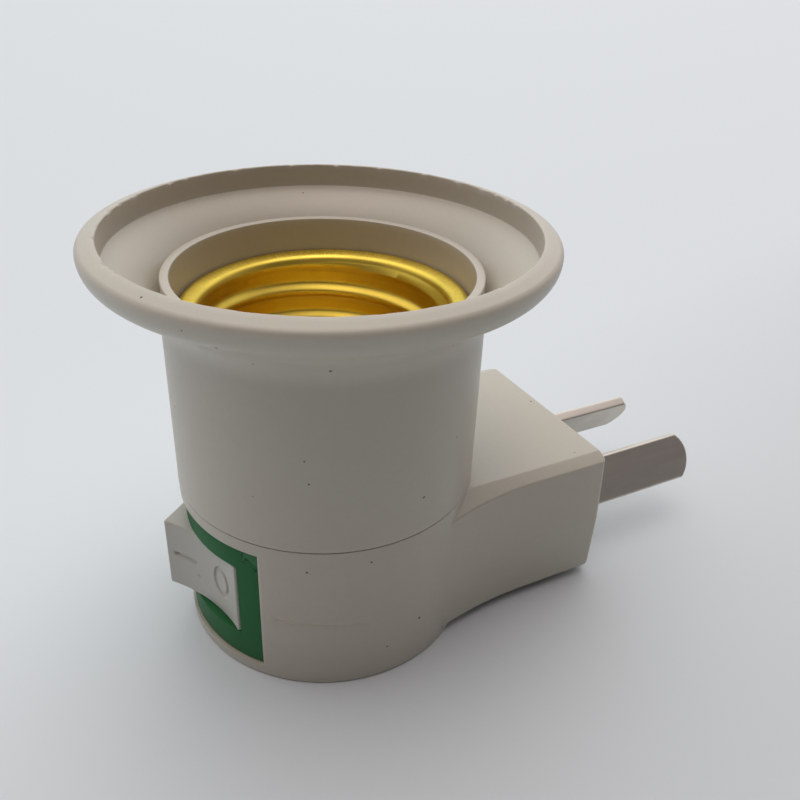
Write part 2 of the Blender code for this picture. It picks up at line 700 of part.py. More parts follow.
def rivet(name, x, seat, metal):
    """A rivet through the carrier, with a head above what it holds and one under the carrier."""
    tail = carrier_bottom - SEAT
    head = RIVET_HEAD_HEIGHT
    profile = [
        (0, tail - head), (RIVET_HEAD_RADIUS * 0.7, tail - head), (RIVET_HEAD_RADIUS, tail - head / 2),
        (RIVET_HEAD_RADIUS, tail), (RIVET_RADIUS, tail), (RIVET_RADIUS, seat),
        (RIVET_HEAD_RADIUS, seat), (RIVET_HEAD_RADIUS, seat + head / 2),
        (RIVET_HEAD_RADIUS * 0.7, seat + head), (0, seat + head),
    ]
    piece(name, turned(profile, (x, 0.0), 16), metal)


def carrier_screw(name, side, steel):
    seat = flange_top + SEAT
    head = SCREW_HEAD_HEIGHT
    centre = (post_x, side * post_y)
    profile = [
        (0, seat - SCREW_LENGTH - 0.0012), (SCREW_RADIUS * 0.4, seat - SCREW_LENGTH - 0.0007),
        (SCREW_RADIUS, seat - SCREW_LENGTH), (SCREW_RADIUS, seat), (SCREW_HEAD_RADIUS, seat),
        (SCREW_HEAD_RADIUS, seat + head * 0.35), (SCREW_HEAD_RADIUS * 0.8, seat + head * 0.8),
        (SCREW_HEAD_RADIUS * 0.4, seat + head), (0, seat + head),
    ]
    body = piece(name, turned(profile, centre, 18), steel)
    arm, slit = SCREW_HEAD_RADIUS * 0.55, SCREW_HEAD_RADIUS * 0.13
    for label, reach_x, reach_y in (("a", arm, slit), ("b", slit, arm)):
        low = (centre[0] - reach_x, centre[1] - reach_y, seat + head * 0.45)
        high = (centre[0] + reach_x, centre[1] + reach_y, seat + head + 0.001)
        cut(body, tool(f"{name}_recess_{label}", box(low, high)))


def centre_contact(bronze):
    """A springy tongue riveted to the carrier and arched over the middle of the socket."""
    thick = CONTACT_STRIP_THICKNESS
    base = flange_bottom + thick / 2
    start = centre_rivet_x + RIVET_HEAD_RADIUS + SEAT
    bend = centre_rivet_x - RIVET_HEAD_RADIUS - SEAT
    arch = ((0.14, 0.11), (0.25, 0.36), (0.40, 0.81), (0.54, 0.97), (0.71, 1.0), (0.89, 0.89), (1.0, 0.69))
    line = [(start, base), (bend, base)]
    line += [(bend - CONTACT_STRIP_REACH * u, base + CONTACT_STRIP_RISE * v) for u, v in arch]
    half = CONTACT_STRIP_WIDTH / 2
    body = piece("centre_contact", upright(prism(strip_outline(line, thick), 0, 2 * half), half), bronze)
    hole = cylinder(RIVET_RADIUS + SEAT, base - 0.001, base + 0.001, (centre_rivet_x, 0), 12)
    cut(body, tool("centre_hole_cut", hole))


def thread_rows(radius, low, high):
    """Rows of (radius, height) that climb one pitch in a turn, each at its own place across the wave of the
    rolled thread. Beyond either end of the thread they lie on the end itself."""
    crest = shell_top - THREAD_CREST_DEPTH
    first = low + (crest - low) % THREAD_PITCH - 2 * THREAD_PITCH
    steps = len(THREAD_WAVE)
    turns = math.ceil((high - first) / THREAD_PITCH)
    rows = []
    for i in range(steps * turns + 1):
        out = THREAD_GROOVE - THREAD_DEPTH * THREAD_WAVE[i % steps]
        row = []
        for k in range(SHELL_ROUND + 1):
            height = first + THREAD_PITCH * (i / steps + k / SHELL_ROUND)
            height = min(max(height, low), high)
            fade = min(1.0, 2.5 * (height - low) / THREAD_PITCH, 2.5 * (high - height) / THREAD_PITCH)
            row.append((radius + out * fade, height))
        rows.append(row)
    return rows


def wound(rows):
    """Closes rows of (radius, height) into a ring-shaped solid about Z, one column of points per facet."""
    bm = bmesh.new()
    made = []
    for row in rows:
        points = []
        for k, (radius, height) in enumerate(row):
            angle = math.tau * k / SHELL_ROUND
            points.append(bm.verts.new((radius * math.cos(angle), radius * math.sin(angle), height)))
        made.append(points)
    for lower, upper in zip(made, made[1:] + made[:1]):
        for k in range(SHELL_ROUND):
            bm.faces.new((lower[k], lower[k + 1], upper[k + 1], upper[k]))
    return bm


def screw_shell(brass):
    """Drawn brass shell: bottom flange, wall with a rolled thread, flared mouth and rolled lip."""
    inner, outer = SHELL_RADIUS, SHELL_RADIUS + SHELL_WALL
    low, high = flange_top + SHELL_FOOT, shell_top - SHELL_FLARE_HEIGHT
    lip = arc((shell_lip_radius - LIP_ROLL, shell_top - LIP_ROLL), LIP_ROLL, 135, -60, 6)
    mouth = [(inner + 0.0006, high + 0.0010)] + lip
    mouth += [(outer + 0.0010, high + 0.00095), (outer + 0.0003, high + 0.00035)]
    foot = [
        (outer, flange_bottom + 0.0005), (outer - 0.0005, flange_bottom), (flange_bore, flange_bottom),
        (flange_bore, flange_top), (inner - 0.0003, flange_top), (inner, flange_top + 0.0003),
    ]
    rows = thread_rows(inner, low, high)
    rows += [[point] * (SHELL_ROUND + 1) for point in mouth]
    rows += thread_rows(outer, low, high)[::-1]
    rows += [[point] * (SHELL_ROUND + 1) for point in foot]
    body = piece("screw_shell", wound(rows), brass)
    for x, y, radius in fastener_holes():
        if math.hypot(x, y) < flange_bore:
            continue
        hole = cylinder(radius, flange_bottom - 0.001, flange_top + 0.001, (x, y), 12)
        cut(body, tool("flange_hole", hole))


def upper_shell(plastic):
    """Bell-mouthed tube with an inner collar, a groove round it and a spigot into the drum."""
    spigot = drum_bore - SEAT
    bottom = SEAM_HEIGHT + SEAM / 2
    spigot_bottom = carrier_top + SEAT
    bead = (bead_centre_radius, BEAD_CENTRE_HEIGHT)
    lip_angle = math.degrees(math.acos((mouth_radius - bead[0]) / BEAD_RADIUS))
    lean = math.radians(FLARE_ANGLE)
    turn = math.atan2(BEAD_HANG, BEAD_DEPTH * math.tan(lean))
    inside = bead[0] + BEAD_RADIUS - BEAD_DEPTH
    touch = []
    for share in (1.0, 0.7, 0.4, 0.2):
        a = turn * share
        touch.append((inside + BEAD_DEPTH * math.cos(a), bead[1] - BEAD_HANG * math.sin(a)))
    touch += arc(bead, BEAD_RADIUS, 0, lip_angle, 5)
    meet = touch[0][1] - (touch[0][0] - tube_radius) * math.tan(lean)
    fillet_start = meet - FLARE_FILLET * math.tan((math.pi / 2 - lean) / 2)
    fillet = arc((tube_radius + FLARE_FILLET, fillet_start), FLARE_FILLET, 180, 90 + FLARE_ANGLE, 4)
    profile = [(tube_radius, bottom)] + fillet + touch
    floor = [
        Vector((mouth_radius - 0.0001, BEAD_CENTRE_HEIGHT - MOUTH_DEPTH)),
        Vector((floor_corner_radius, BEAD_CENTRE_HEIGHT - FLOOR_CORNER_DEPTH)),
        Vector((collar_radius + GROOVE_WIDTH, groove_bottom)),
    ]
    for i in range(7):
        t = i / 6
        profile.append(tuple((1 - t) ** 2 * floor[0] + 2 * t * (1 - t) * floor[1] + t**2 * floor[2]))
    profile += [(collar_radius, groove_bottom)]
    profile += [(collar_radius, collar_top - 0.0001), (collar_radius - 0.0001, collar_top)]
    profile += [(socket_bore + 0.0001, collar_top), (socket_bore, collar_top - 0.0001)]
    profile += [(socket_bore, spigot_step + 0.0012), (spigot_bore, spigot_step)]
    profile += [(spigot_bore, spigot_bottom), (spigot, spigot_bottom), (spigot, bottom)]
    piece("upper_shell", turned(profile), plastic)


def wire(name, route, covering):
    """An insulated lead: a round tube along a smooth curve through its route."""
    curve = bpy.data.curves.new(name, "CURVE")
    curve.dimensions = "3D"
    curve.bevel_depth = WIRE_RADIUS
    curve.bevel_resolution = 2
    curve.use_fill_caps = True
    points = smooth_route([Vector(p) for p in route], 4)
    spline = curve.splines.new("POLY")
    spline.points.add(len(points) - 1)
    for target, point in zip(spline.points, points):
        target.co = (*point, 1.0)
    curve.materials.append(covering)
    obj = bpy.data.objects.new(name, curve)
    bpy.context.scene.collection.objects.link(obj)


def smooth_route(points, steps):
    """A Catmull-Rom curve through the points."""
    ends = [2 * points[0] - points[1]] + points + [2 * points[-1] - points[-2]]
    made = []
    for a, b, c, d in zip(ends, ends[1:], ends[2:], ends[3:]):
        for i in range(steps):
            t = i / steps
            made.append(
                0.5 * (2 * b + (c - a) * t + (2 * a - 5 * b + 4 * c - d) * t**2 + (3 * b - a - 3 * c + d) * t**3)
            )
    return made + [points[-1]]


def along(start, end, shares):
    """A point part of the way between two others, by a share for each of X, Y and Z."""
    return tuple(a + (b - a) * share for a, b, share in zip(start, end, shares))


def wires(live, neutral):
    tail = BLADE_TAIL - 2 * SEAT
    blade_y = BLADE_SPACING / 2
    under = carrier_bottom - RIVET_HEAD_HEIGHT - 2.5 * SEAT
    tab = tab_end + 1.5 * SEAT
    near_blade = (tail, -blade_y, BLADE_HEIGHT)
    far_blade = (tail, blade_y, BLADE_HEIGHT)
    common_tab = (tab, 0.0, ROCKER_MID)
    load_tab = (tab, -CONTACT_OFFSET, ROCKER_MID)
    centre = (centre_rivet_x, 0.0, under)
    shell = (shell_rivet_x, 0.0, under)
    stub, sag = WIRE_STUB, WIRE_SAG
    wire(
        "live_wire",
        [
            near_blade, (tail - stub, -blade_y + sag / 3, BLADE_HEIGHT - sag / 2),
            along(near_blade, (common_tab[0], 0, BLADE_HEIGHT - sag), (0.37, 0.49, 1)),
            along(near_blade, (common_tab[0], 0, BLADE_HEIGHT - sag / 2), (0.70, 0.91, 1)),
            (tab + stub * 0.7, 0.0, ROCKER_MID), common_tab,
        ],
        live,
    )
    wire(
        "switched_wire",
        [
            load_tab, (tab + stub / 2, -CONTACT_OFFSET, ROCKER_MID), along(load_tab, centre, (1, 0.55, 0.4)),
            (centre_rivet_x, 0.0, under - stub * 0.7), centre,
        ],
        live,
    )
    wire(
        "neutral_wire",
        [
            far_blade, (tail - stub, blade_y - sag / 2, BLADE_HEIGHT + sag / 2),
            along(far_blade, shell, (0.75, 0.75, 0.2)), (shell_rivet_x, 0.0, under - stub * 0.8), shell,
        ],
        neutral,
    )


def build():
    clear_scene()
    ivory = material("ivory_plastic", IVORY, 0.45)
    rocker_ivory = material("rocker_ivory", (0.62, 0.60, 0.53), 0.4)
    green = material("green_plastic", (0.045, 0.20, 0.085), 0.4)
    brass = material("gilt_brass", (0.80, 0.56, 0.14), 0.28, 1.0)
    blade_metal = material("blade_metal", (0.56, 0.54, 0.50), 0.32, 1.0)
    copper = material("contact_copper", (0.72, 0.38, 0.22), 0.35, 1.0)
    silver = material("contact_silver", (0.80, 0.79, 0.77), 0.25, 1.0)
    steel = material("plated_steel", (0.62, 0.62, 0.62), 0.3, 1.0)
    insulator = material("carrier_insulator", (0.72, 0.70, 0.66), 0.6)
    nylon = material("holder_nylon", (0.10, 0.10, 0.10), 0.5)
    brown_lead = material("brown_lead", (0.16, 0.06, 0.03), 0.45)
    blue_lead = material("blue_lead", (0.04, 0.12, 0.42), 0.45)
    upper_shell(ivory)
    lower_housing(ivory)
    switch_frame(green)
    rocker_group(rocker_ivory, steel, steel)
    lever_group(copper, silver)
    common_terminal(brass)
    load_terminal(brass, silver)
    blade("near_blade", -1, blade_metal)
    blade("far_blade", 1, blade_metal)
    blade_holder(nylon)
    contact_carrier(insulator)
    screw_shell(brass)
    centre_contact(copper)
    rivet("centre_rivet", centre_rivet_x, flange_bottom + CONTACT_STRIP_THICKNESS + SEAT, brass)
    rivet("shell_rivet", shell_rivet_x, flange_top + SEAT, brass)
    carrier_screw("near_carrier_screw", -1, steel)
    carrier_screw("far_carrier_screw", 1, steel)
    wires(brown_lead, blue_lead)


build()
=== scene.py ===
"""Looks of the plug-in lamp socket adapter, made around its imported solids.

Shapes are worked out in millimetres and stored in metres. +Z runs up the socket, the blades point
along +X, the rocker faces -X and the photograph looks at the -Y side.
"""

import math

import bpy
import numpy as np
from mathutils import Matrix


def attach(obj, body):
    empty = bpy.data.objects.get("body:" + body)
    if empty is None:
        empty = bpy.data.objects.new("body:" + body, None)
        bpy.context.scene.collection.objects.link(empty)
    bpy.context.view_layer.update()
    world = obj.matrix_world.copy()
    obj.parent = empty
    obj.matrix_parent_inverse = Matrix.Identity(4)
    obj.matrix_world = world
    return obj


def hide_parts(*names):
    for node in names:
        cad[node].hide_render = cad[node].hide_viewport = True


MM = 0.001
HOUSING = "housing"
ROCKER = "switch_rocker"

# Upper shell
TUBE = 17.25
SEAM_TOP = 19.26
RIM = (24.47, 47.1)
RIM_HANG = 2.6
RIM_DEPTH = 2.4
RIM_CORNER = 0.8
RIM_ARC = math.radians(74)
LIP_TOP = 48.34
FLARE_LEAN = math.radians(33)
FLARE_FILLET = 4.6
MOUTH = 22.42
MOUTH_DRAFT = 0.1
MOUTH_FLOOR = 45.68
FLOOR_BEND = (18.3, 43.8)
GROOVE = (17.1, 40.75)
COLLAR = 16.93
COLLAR_TOP = 43.5
BORE = 15.97
BORE_FOOT = 22.7
SPIGOT = 15.4
SPIGOT_BORE = 14.4
SPIGOT_SHOULDER = 21.5
SPIGOT_BOTTOM = 18.6
# Chips of the mouth's edge: direction and width in degrees, depth
RIM_CHIPS = (
    (186, 1.6, 0.32), (190, 0.8, 0.2), (193, 0.5, 0.16), (168, 0.5, 0.2), (160, 0.6, 0.16), (148, 0.9, 0.2),
    (141, 0.4, 0.22), (133, 0.5, 0.16), (118, 0.7, 0.22), (112, 0.4, 0.16), (95, 0.9, 0.16), (77, 0.5, 0.18),
    (63, 0.6, 0.22), (49, 0.5, 0.16), (34, 0.6, 0.18), (22, 0.9, 0.2), (12, 0.4, 0.16), (6, 0.6, 0.26),
    (1, 0.8, 0.2), (-4, 0.4, 0.16), (-70, 0.6, 0.08),
)

# Lower housing
DRUM_BASE = 17.0
DRUM = 17.2
DRUM_BORE = 15.7
FLOOR = 1.6
DRUM_INSIDE_TOP = 20.5
PARTING = 9.4
PARTING_ROWS = (8.3, 9.9)
PARTING_RAISED = 0.14
PARTING_WIDTH = 0.09
SEAM_BOTTOM = 19.14
BLOCK_ROOT = 5.6
BLOCK_SEAT = 0.12
BLOCK_END = 32.1
BLOCK_WALL = 1.8
BLOCK_EDGE = 0.8
BLOCK_RIM = 0.35
BLOCK_HALF = 13.65
BLOCK_DRAFT = 0.35
BLOCK_UNDER = 0.9
BLOCK_TOP = 18.65
ROOF_HALF = 11.7
ROOF_SLOPE = 0.47
BLEND = 50.0
CAVITY_START = 7.8
CAVITY_HALF = 11.65
CAVITY_LOW = 2.5
CAVITY_HIGH = 17.05
WINDOW = math.radians(41.2)
WINDOW_LOW = 1.5
WINDOW_HIGH = 17.5
WINDOW_BACK = 13.5
CHAMFER = 0.6
CHAMFER_DEPTH = 0.12
POST = (4.494, 8.596)
POST_RADIUS = 2.6
POST_HOLE = 1.65
RIB_FOOT = 0.8
UNDER_CARRIER = 16.0

# Switch
FRAME_FACE = 16.75
FRAME_GAP = 0.15
BEZEL = 1.55
FLANGE_INNER = 13.7
FLANGE_OUTER = 15.4
FLANGE_SPAN = (1.9, 15.9)
FLANGE_LAP = math.radians(2.4)
POCKET_FRONT = 14.8
POCKET_BACK = -8.2
POCKET_HALF = 9.8
CHAMBER_FRONT = -9.2
CHAMBER_BACK = -1.0
CHAMBER_HALF = 8.0
CHAMBER_WALL = 1.0
CONTACT_OFFSET = 4.9
OPENING_HALF = 8.52
OPENING_LOW = 4.9
OPENING_HIGH = 14.45
OPENING_CORNER = 0.25
OPENING_FLARE = 0.12
PIVOT = -10.35
ROCKER_REST = math.radians(22.3)
ROCKER_MID = 9.68
ROCKER_HALF_HEIGHT = 4.625
ROCKER_REACH = 7.2
ROCKER_HALF = 6.17
ROCKER_DISH = 1.0
ROCKER_FLANK = 4.2
ROCKER_SLOPE = math.radians(17.4)
ROCKER_HUB = 2.6
ROCKER_RIM = 0.28
ROCKER_CORNER = 0.35
PLUNGER_BORE = 1.15
HINGE_RADIUS = 1.0
HINGE_SPAN = (3.92, 15.44)
BEARING_RADIUS = 1.3
BEARING_SPAN = (2.6, 16.7)
# Marks on the rocker: middle across it and in height, then half-length or half-axes
MARK_DEPTH = 0.24
BAR = (3.35, 9.9, 1.45)
RING = (-2.83, 9.85, 1.3, 1.78)
GATE = (1.44, 8.1)
BAR_END = (4.75, 9.9)

# Screw shell
THREAD_PITCH = 3.63
THREAD_PHASE = math.radians(66.7)
THREAD_HEIGHT = 35.3
THREAD_DEPTH = 0.82
THREAD_SHARPNESS = 2.8
SHELL_BORE = 13.47
SHELL_FLOOR = 18.6
SHELL_FOOT = 20.2
SHELL_HEAD = 38.2
SHELL_WALL = 0.4
LIP_LEAN = 0.2
LIP_LEAN_TOWARD = math.radians(-30)
# The lip from inside over its top to the rolled edge and back beneath, as radius and height
SHELL_LIP = (
    (13.48, 38.8), (13.55, 39.13), (13.72, 39.41), (14.0, 39.6), (14.42, 39.73), (14.9, 39.83),
    (15.21, 39.85), (15.48, 39.77), (15.67, 39.59), (15.75, 39.35), (15.69, 39.1), (15.5, 38.97),
    (15.32, 39.1), (15.16, 39.33), (14.63, 39.33), (14.21, 39.2), (13.98, 38.95), (13.88, 38.55),
)

# Blades
BLADE_WIDTH = 6.35
BLADE_THICK = 1.55
BLADE_Y = 6.85
BLADE_Z = 9.3
BLADE_LEAN = math.radians(30)
BLADE_TIP = 53.1
BLADE_TIP_RADIUS = 4.0
BLADE_TAIL = 20.5
BLADE_RIM = 0.3
SLOT_GAP = 0.15
SLOT_FLARE = 0.42

# Socket's floor
CENTRE_RIVET = 3.7
FLANGE_RIVET = 10.2
RIVET_SHANK = 1.05
RIVET_HEAD = 1.7
RIVET_DOME = 0.62
RIVET_HOLE = 1.35
SCREW_SHANK = 1.35
SCREW_HEAD = 2.2
SCREW_SEAT = 19.3
TONGUE_BASE = 18.8
TONGUE_TOP = 22.4
TONGUE_HALF = 2.5
TONGUE_END = 1.6

# Finishes, with lengths in metres
SPECK_SCALE = 480.0
SPECK_RARITY = 0.72
DIRT = (0.09, 0.075, 0.06, 1)
SKIN_GRAIN = 4e-6
METAL_GRAIN = 2e-6
KNURL_DEPTH = 6e-5
TORN_AT = (math.radians(-140.2), 17.0)
TORN_REACH = 0.00145
TORN_PALE = (0.075, 0.23, 0.10, 1)
TORN_DARK = (0.004, 0.022, 0.009, 1)

# Surroundings
BACKDROP = (0.71, 0.74, 0.76, 1)
# Table colours carry painted shade: the near one is darker, standing in for the dimmer light towards the
# camera, and the far one is lighter, where more light falls
TABLE_SHADED_NEAR = (0.59, 0.64, 0.675, 1)
TABLE_LIT_FAR = (0.715, 0.78, 0.83, 1)
# Soft patches of light: direction, power, colour times strength
ROOM_LIGHT = (
    ((0.0, 0.0, 1.0), 12.0, (1.80, 1.58, 1.49)),
    ((-0.150, -0.271, 0.951), 12.0, (0.60, 0.54, 0.49)),
    ((0.848, 0.244, 0.469), 3.0, (0.54, 0.48, 0.50)),
    ((0.427, 0.773, 0.469), 3.0, (0.86, 0.92, 0.90)),
    ((-0.244, 0.848, 0.469), 3.0, (0.38, 0.44, 0.46)),
    ((-0.873, 0.483, 0.070), 8.0, (0.48, 0.47, 0.52)),
    ((0.242, 0.438, 0.866), 8.0, (0.30, 0.29, 0.27)),
    ((-0.464, 0.256, 0.848), 8.0, (1.00, 0.86, 0.82)),
)

# Camera, fitted to the photograph
VIEW_AZIMUTH = math.radians(-28.94)
VIEW_ELEVATION = math.radians(30.26)
VIEW_ROLL = math.radians(2.28)
VIEW_DISTANCE = 98.48
VIEW_TARGET = (8.46, 27.75)
FOCAL_PIXELS = 860.96
PHOTO_PIXELS = 800
SENSOR = 36.0


# Mesh tools


def rounded(corners, radii, steps=4):
    """Each corner of the closed outlines becomes an arc of its radius, tangent to both sides.

    With unit directions u and v to the neighbours and half the inside angle h, the arc starts r / tan(h)
    along u, ends as far along v, and turns about the point r / sin(h) along their bisector.
    """
    p = np.asarray(corners, float)
    r = np.asarray(radii, float)
    back = np.roll(p, 1, axis=-2) - p
    ahead = np.roll(p, -1, axis=-2) - p
    long_back = np.linalg.norm(back, axis=-1)
    long_ahead = np.linalg.norm(ahead, axis=-1)
    u = back / long_back[..., None]
    v = ahead / long_ahead[..., None]
    half = np.arccos(np.clip((u * v).sum(-1), -1, 0.9999)) / 2
    cut = np.minimum(r / np.tan(half), 0.49 * np.minimum(long_back, long_ahead))
    start = p + u * cut[..., None]
    end = p + v * cut[..., None]
    bisector = (u + v) / np.maximum(np.linalg.norm(u + v, axis=-1), 1e-9)[..., None]
    centre = p + bisector * (cut / np.cos(half))[..., None]
    turn = np.maximum(math.pi - 2 * half, 1e-4)[..., None, None]
    t = np.linspace(0, 1, steps + 1)[:, None]
    blend_a = np.sin((1 - t) * turn) / np.sin(turn)
    blend_b = np.sin(t * turn) / np.sin(turn)
    middle = centre[..., None, :]
    arcs = middle + (start[..., None, :] - middle) * blend_a + (end[..., None, :] - middle) * blend_b
    return arcs.reshape(*p.shape[:-2], -1, 2)


def distinct(line, least=1e-4):
    """Drops points that repeat the one before."""
    keep = np.r_[True, np.linalg.norm(np.diff(line, axis=0), axis=1) > least]
    return line[keep]


def refined(line, longest):
    """Splits the segments of an open line, so that none is longer than its limit, which may differ
    along it."""
    lengths = np.linalg.norm(np.diff(line, axis=0), axis=1)
    limit = np.broadcast_to(longest, lengths.shape)
    counts = np.maximum(np.ceil(lengths / limit), 1).astype(int)
    index = np.repeat(np.arange(len(counts)), counts)
    first = np.cumsum(counts) - counts
    share = (np.arange(len(index)) - first[index]) / counts[index]
    inner = line[index] + (line[index + 1] - line[index]) * share[:, None]
    return np.vstack([inner, line[-1:]])


def turned(profile, around):
    """Surface of revolution: (r, z) at angle a becomes (r cos a, r sin a, z)."""
    a = np.arange(around) * math.tau / around
    r, z = profile[:, :1], profile[:, 1:]
    return np.stack([r * np.cos(a), r * np.sin(a), z + 0 * a], axis=-1)


def skin(name, grid, finish=None, ring=False):
    """A closed mesh over grid[row, column]. Columns go round, and rows run along the piece.

    With ring, the last row meets the first. Otherwise each end is closed by a flat face inside a narrow
    rim of quads, which keeps the shading of the flat end flat.
    """
    rows, around = grid.shape[:2]
    points = [grid.reshape(-1, 3)]
    i = np.arange(rows if ring else rows - 1)[:, None]
    j = np.arange(around)[None, :]
    after = (j + 1) % around
    below = (i + 1) % rows
    corners = [i * around + j, i * around + after, below * around + after, below * around + j]
    quads = [np.stack(np.broadcast_arrays(*corners), -1).reshape(-1, 4)]
    caps = []
    if not ring:
        j, after = j[0], after[0]
        for row, order in ((0, 1), (rows - 1, -1)):
            base = sum(len(p) for p in points)
            rim = grid[row]
            points.append(rim + (rim.mean(0) - rim) * 0.02)
            edge = np.stack([base + j, base + after, row * around + after, row * around + j], -1)
            quads.append(edge[:, ::order])
            caps.append((base + j)[::-order].tolist())
    points = np.vstack(points)
    quads = np.vstack(quads)
    p = points - points.mean(0)
    a, b, c, d = (p[quads[:, k]] for k in range(4))
    volume = (np.cross(a, b) * c).sum() + (np.cross(a, c) * d).sum()
    faces = quads.tolist() + caps
    if volume < 0:
        faces = [face[::-1] for face in faces]
    mesh = bpy.data.meshes.new(name)
    mesh.from_pydata((points * MM).tolist(), [], faces)
    mesh.update()
    return stand(name, mesh, finish)


def shaded(mesh, sharp):
    """Smooth shading, except at edges sharper than an angle in degrees."""
    mesh.shade_smooth()
    mesh.set_sharp_from_angle(angle=math.radians(sharp))


def stand(name, mesh, finish):
    """Puts a mesh into the scene as an object at the origin."""
    shaded(mesh, 32)
    if finish:
        mesh.materials.clear()
        mesh.materials.append(finish)
    obj = bpy.data.objects.new(name, mesh)
    bpy.context.scene.collection.objects.link(obj)
    return obj


def carved(obj, *batches, sharp=32):
    """Joins and cuts with batches of closed forms by turns, joining first, keeps the result as the
    object's own mesh and deletes the forms."""
    turns = ("UNION", "DIFFERENCE") * len(batches)
    steps = [(form, turn) for batch, turn in zip(batches, turns) for form in batch]
    for form, operation in steps:
        step = obj.modifiers.new(form.name, "BOOLEAN")
        step.operation = operation
        step.solver = "EXACT"
        step.object = form
    graph = bpy.context.evaluated_depsgraph_get()
    mesh = bpy.data.meshes.new_from_object(obj.evaluated_get(graph))
    obj.modifiers.clear()
    finish = obj.data.materials[0]
    obj.data = mesh
    mesh.materials.clear()
    mesh.materials.append(finish)
    shaded(mesh, sharp)
    for form, _ in steps:
        bpy.data.objects.remove(form)
    return obj


def slab(outline, low, high, rim=0.0, steps=4, rows=2):
    """Rows of a plate: a plan outline between two heights, its rims rounded by quarter circles.

    At angle a of the rim the outline lies rim (1 - cos a) inside, and rim (1 - sin a) from the end.
    """
    if rim:
        a = np.linspace(math.pi / 2, 0, steps + 1)
        inset = rim * (1 - np.cos(a))
        lift = rim * (1 - np.sin(a))
        depth = np.r_[inset, np.zeros(rows), inset[::-1]]
        wall = np.linspace(low + rim, high - rim, rows + 2)[1:-1]
        height = np.r_[low + lift, wall, (high - lift)[::-1]]
    else:
        depth = np.zeros(rows)
        height = np.linspace(low, high, rows)
    plan = outline[None] + inward_normals(outline)[None] * depth[:, None, None]
    return np.concatenate([plan, np.broadcast_to(height[:, None, None], (*plan.shape[:2], 1))], axis=-1)


def inward_normals(outline):
    """Unit normals of a closed plan outline, pointing into it."""
    tangent = np.roll(outline, -1, axis=0) - np.roll(outline, 1, axis=0)
    normal = np.stack([-tangent[:, 1], tangent[:, 0]], axis=1)
    normal /= np.maximum(np.linalg.norm(normal, axis=1), 1e-9)[:, None]
    x, y = outline.T
    area = (x * np.roll(y, -1) - y * np.roll(x, -1)).sum()
    return normal if area > 0 else -normal


def arc(centre, radius, start, end, count):
    """Points on a circle between two angles in radians."""
    a = np.linspace(start, end, count)
    return np.stack([centre[0] + radius * np.cos(a), centre[1] + radius * np.sin(a)], axis=1)


def ring_sector(inner, outer, half, low, high, count=72):
    """A piece of a ring centred on -X, as a plain prism."""
    out = arc((0, 0), outer, math.pi - half, math.pi + half, count)
    back = arc((0, 0), inner, math.pi + half, math.pi - half, count)
    return slab(np.vstack([out, back]), low, high)


def box_form(low, high):
    """A plain box between two corners."""
    outline = np.array([(low[0], low[1]), (high[0], low[1]), (high[0], high[1]), (low[0], high[1])], float)
    return slab(outline, low[2], high[2])


def pin(radius, low, high, place=(0, 0), around=32):
    """A plain upright cylinder at a place in plan."""
    return turned(np.array([(0.2, low), (radius, low), (radius, high), (0.2, high)]), around) + (*place, 0)


def moved(grid, matrix):
    """Applies a 4 x 4 placement in millimetres."""
    m = np.array(matrix)
    return grid @ m[:3, :3].T + m[:3, 3]


def smooth(low, high, value):
    """Rises from 0 at low to 1 at high, level at both ends."""
    t = np.clip((value - low) / (high - low), 0, 1)
    return t * t * (3 - 2 * t)


# Finish tools


def put(tree, kind, inputs=None, **settings):
    """Adds a node, with settings and with numbers or sockets for its inputs."""
    node = tree.nodes.new(kind)
    for key, value in settings.items():
        setattr(node, key, value)
    for key, value in (inputs or {}).items():
        if isinstance(value, bpy.types.NodeSocket):
            tree.links.new(value, node.inputs[key])
        else:
            node.inputs[key].default_value = value
    return node


def maths(tree, operation, *values, clamp=False):
    node = put(tree, "ShaderNodeMath", dict(enumerate(values)), operation=operation, use_clamp=clamp)
    return node.outputs[0]


def vectors(tree, operation, first, second, output="Vector"):
    """Vector arithmetic; with SCALE the second value is a number."""
    inputs = {0: first, "Scale" if operation == "SCALE" else 1: second}
    return put(tree, "ShaderNodeVectorMath", inputs, operation=operation).outputs[output]


def mixed(tree, share, first, second):
    """Colour mix; share, first and second are numbers, colours or sockets."""
    return put(tree, "ShaderNodeMix", {0: share, 6: first, 7: second}, data_type="RGBA").outputs[2]


def spread(tree, value, low, high):
    """Maps a value from low and high to 0 and 1, clamped."""
    return put(tree, "ShaderNodeMapRange", {0: value, 1: low, 2: high}).outputs[0]


def own_place(tree):
    """Position in the piece's own frame, in metres."""
    return put(tree, "ShaderNodeTexCoord").outputs["Object"]


def noise(tree, vector, scale, detail=2.0, rough=0.5):
    node = put(
        tree, "ShaderNodeTexNoise", {"Vector": vector, "Scale": scale, "Detail": detail, "Roughness": rough}
    )
    return node.outputs["Fac"]


def new_group(name, inputs, outputs):
    """A node group whose sockets are given as (name, kind, default)."""
    tree = bpy.data.node_groups.new(name, "ShaderNodeTree")
    for label, kind, default in inputs:
        socket = tree.interface.new_socket(label, in_out="INPUT", socket_type=kind)
        socket.default_value = default
    for label, kind in outputs:
        tree.interface.new_socket(label, in_out="OUTPUT", socket_type=kind)
    start = tree.nodes.new("NodeGroupInput")
    end = tree.nodes.new("NodeGroupOutput")
    return tree, start.outputs, end.inputs


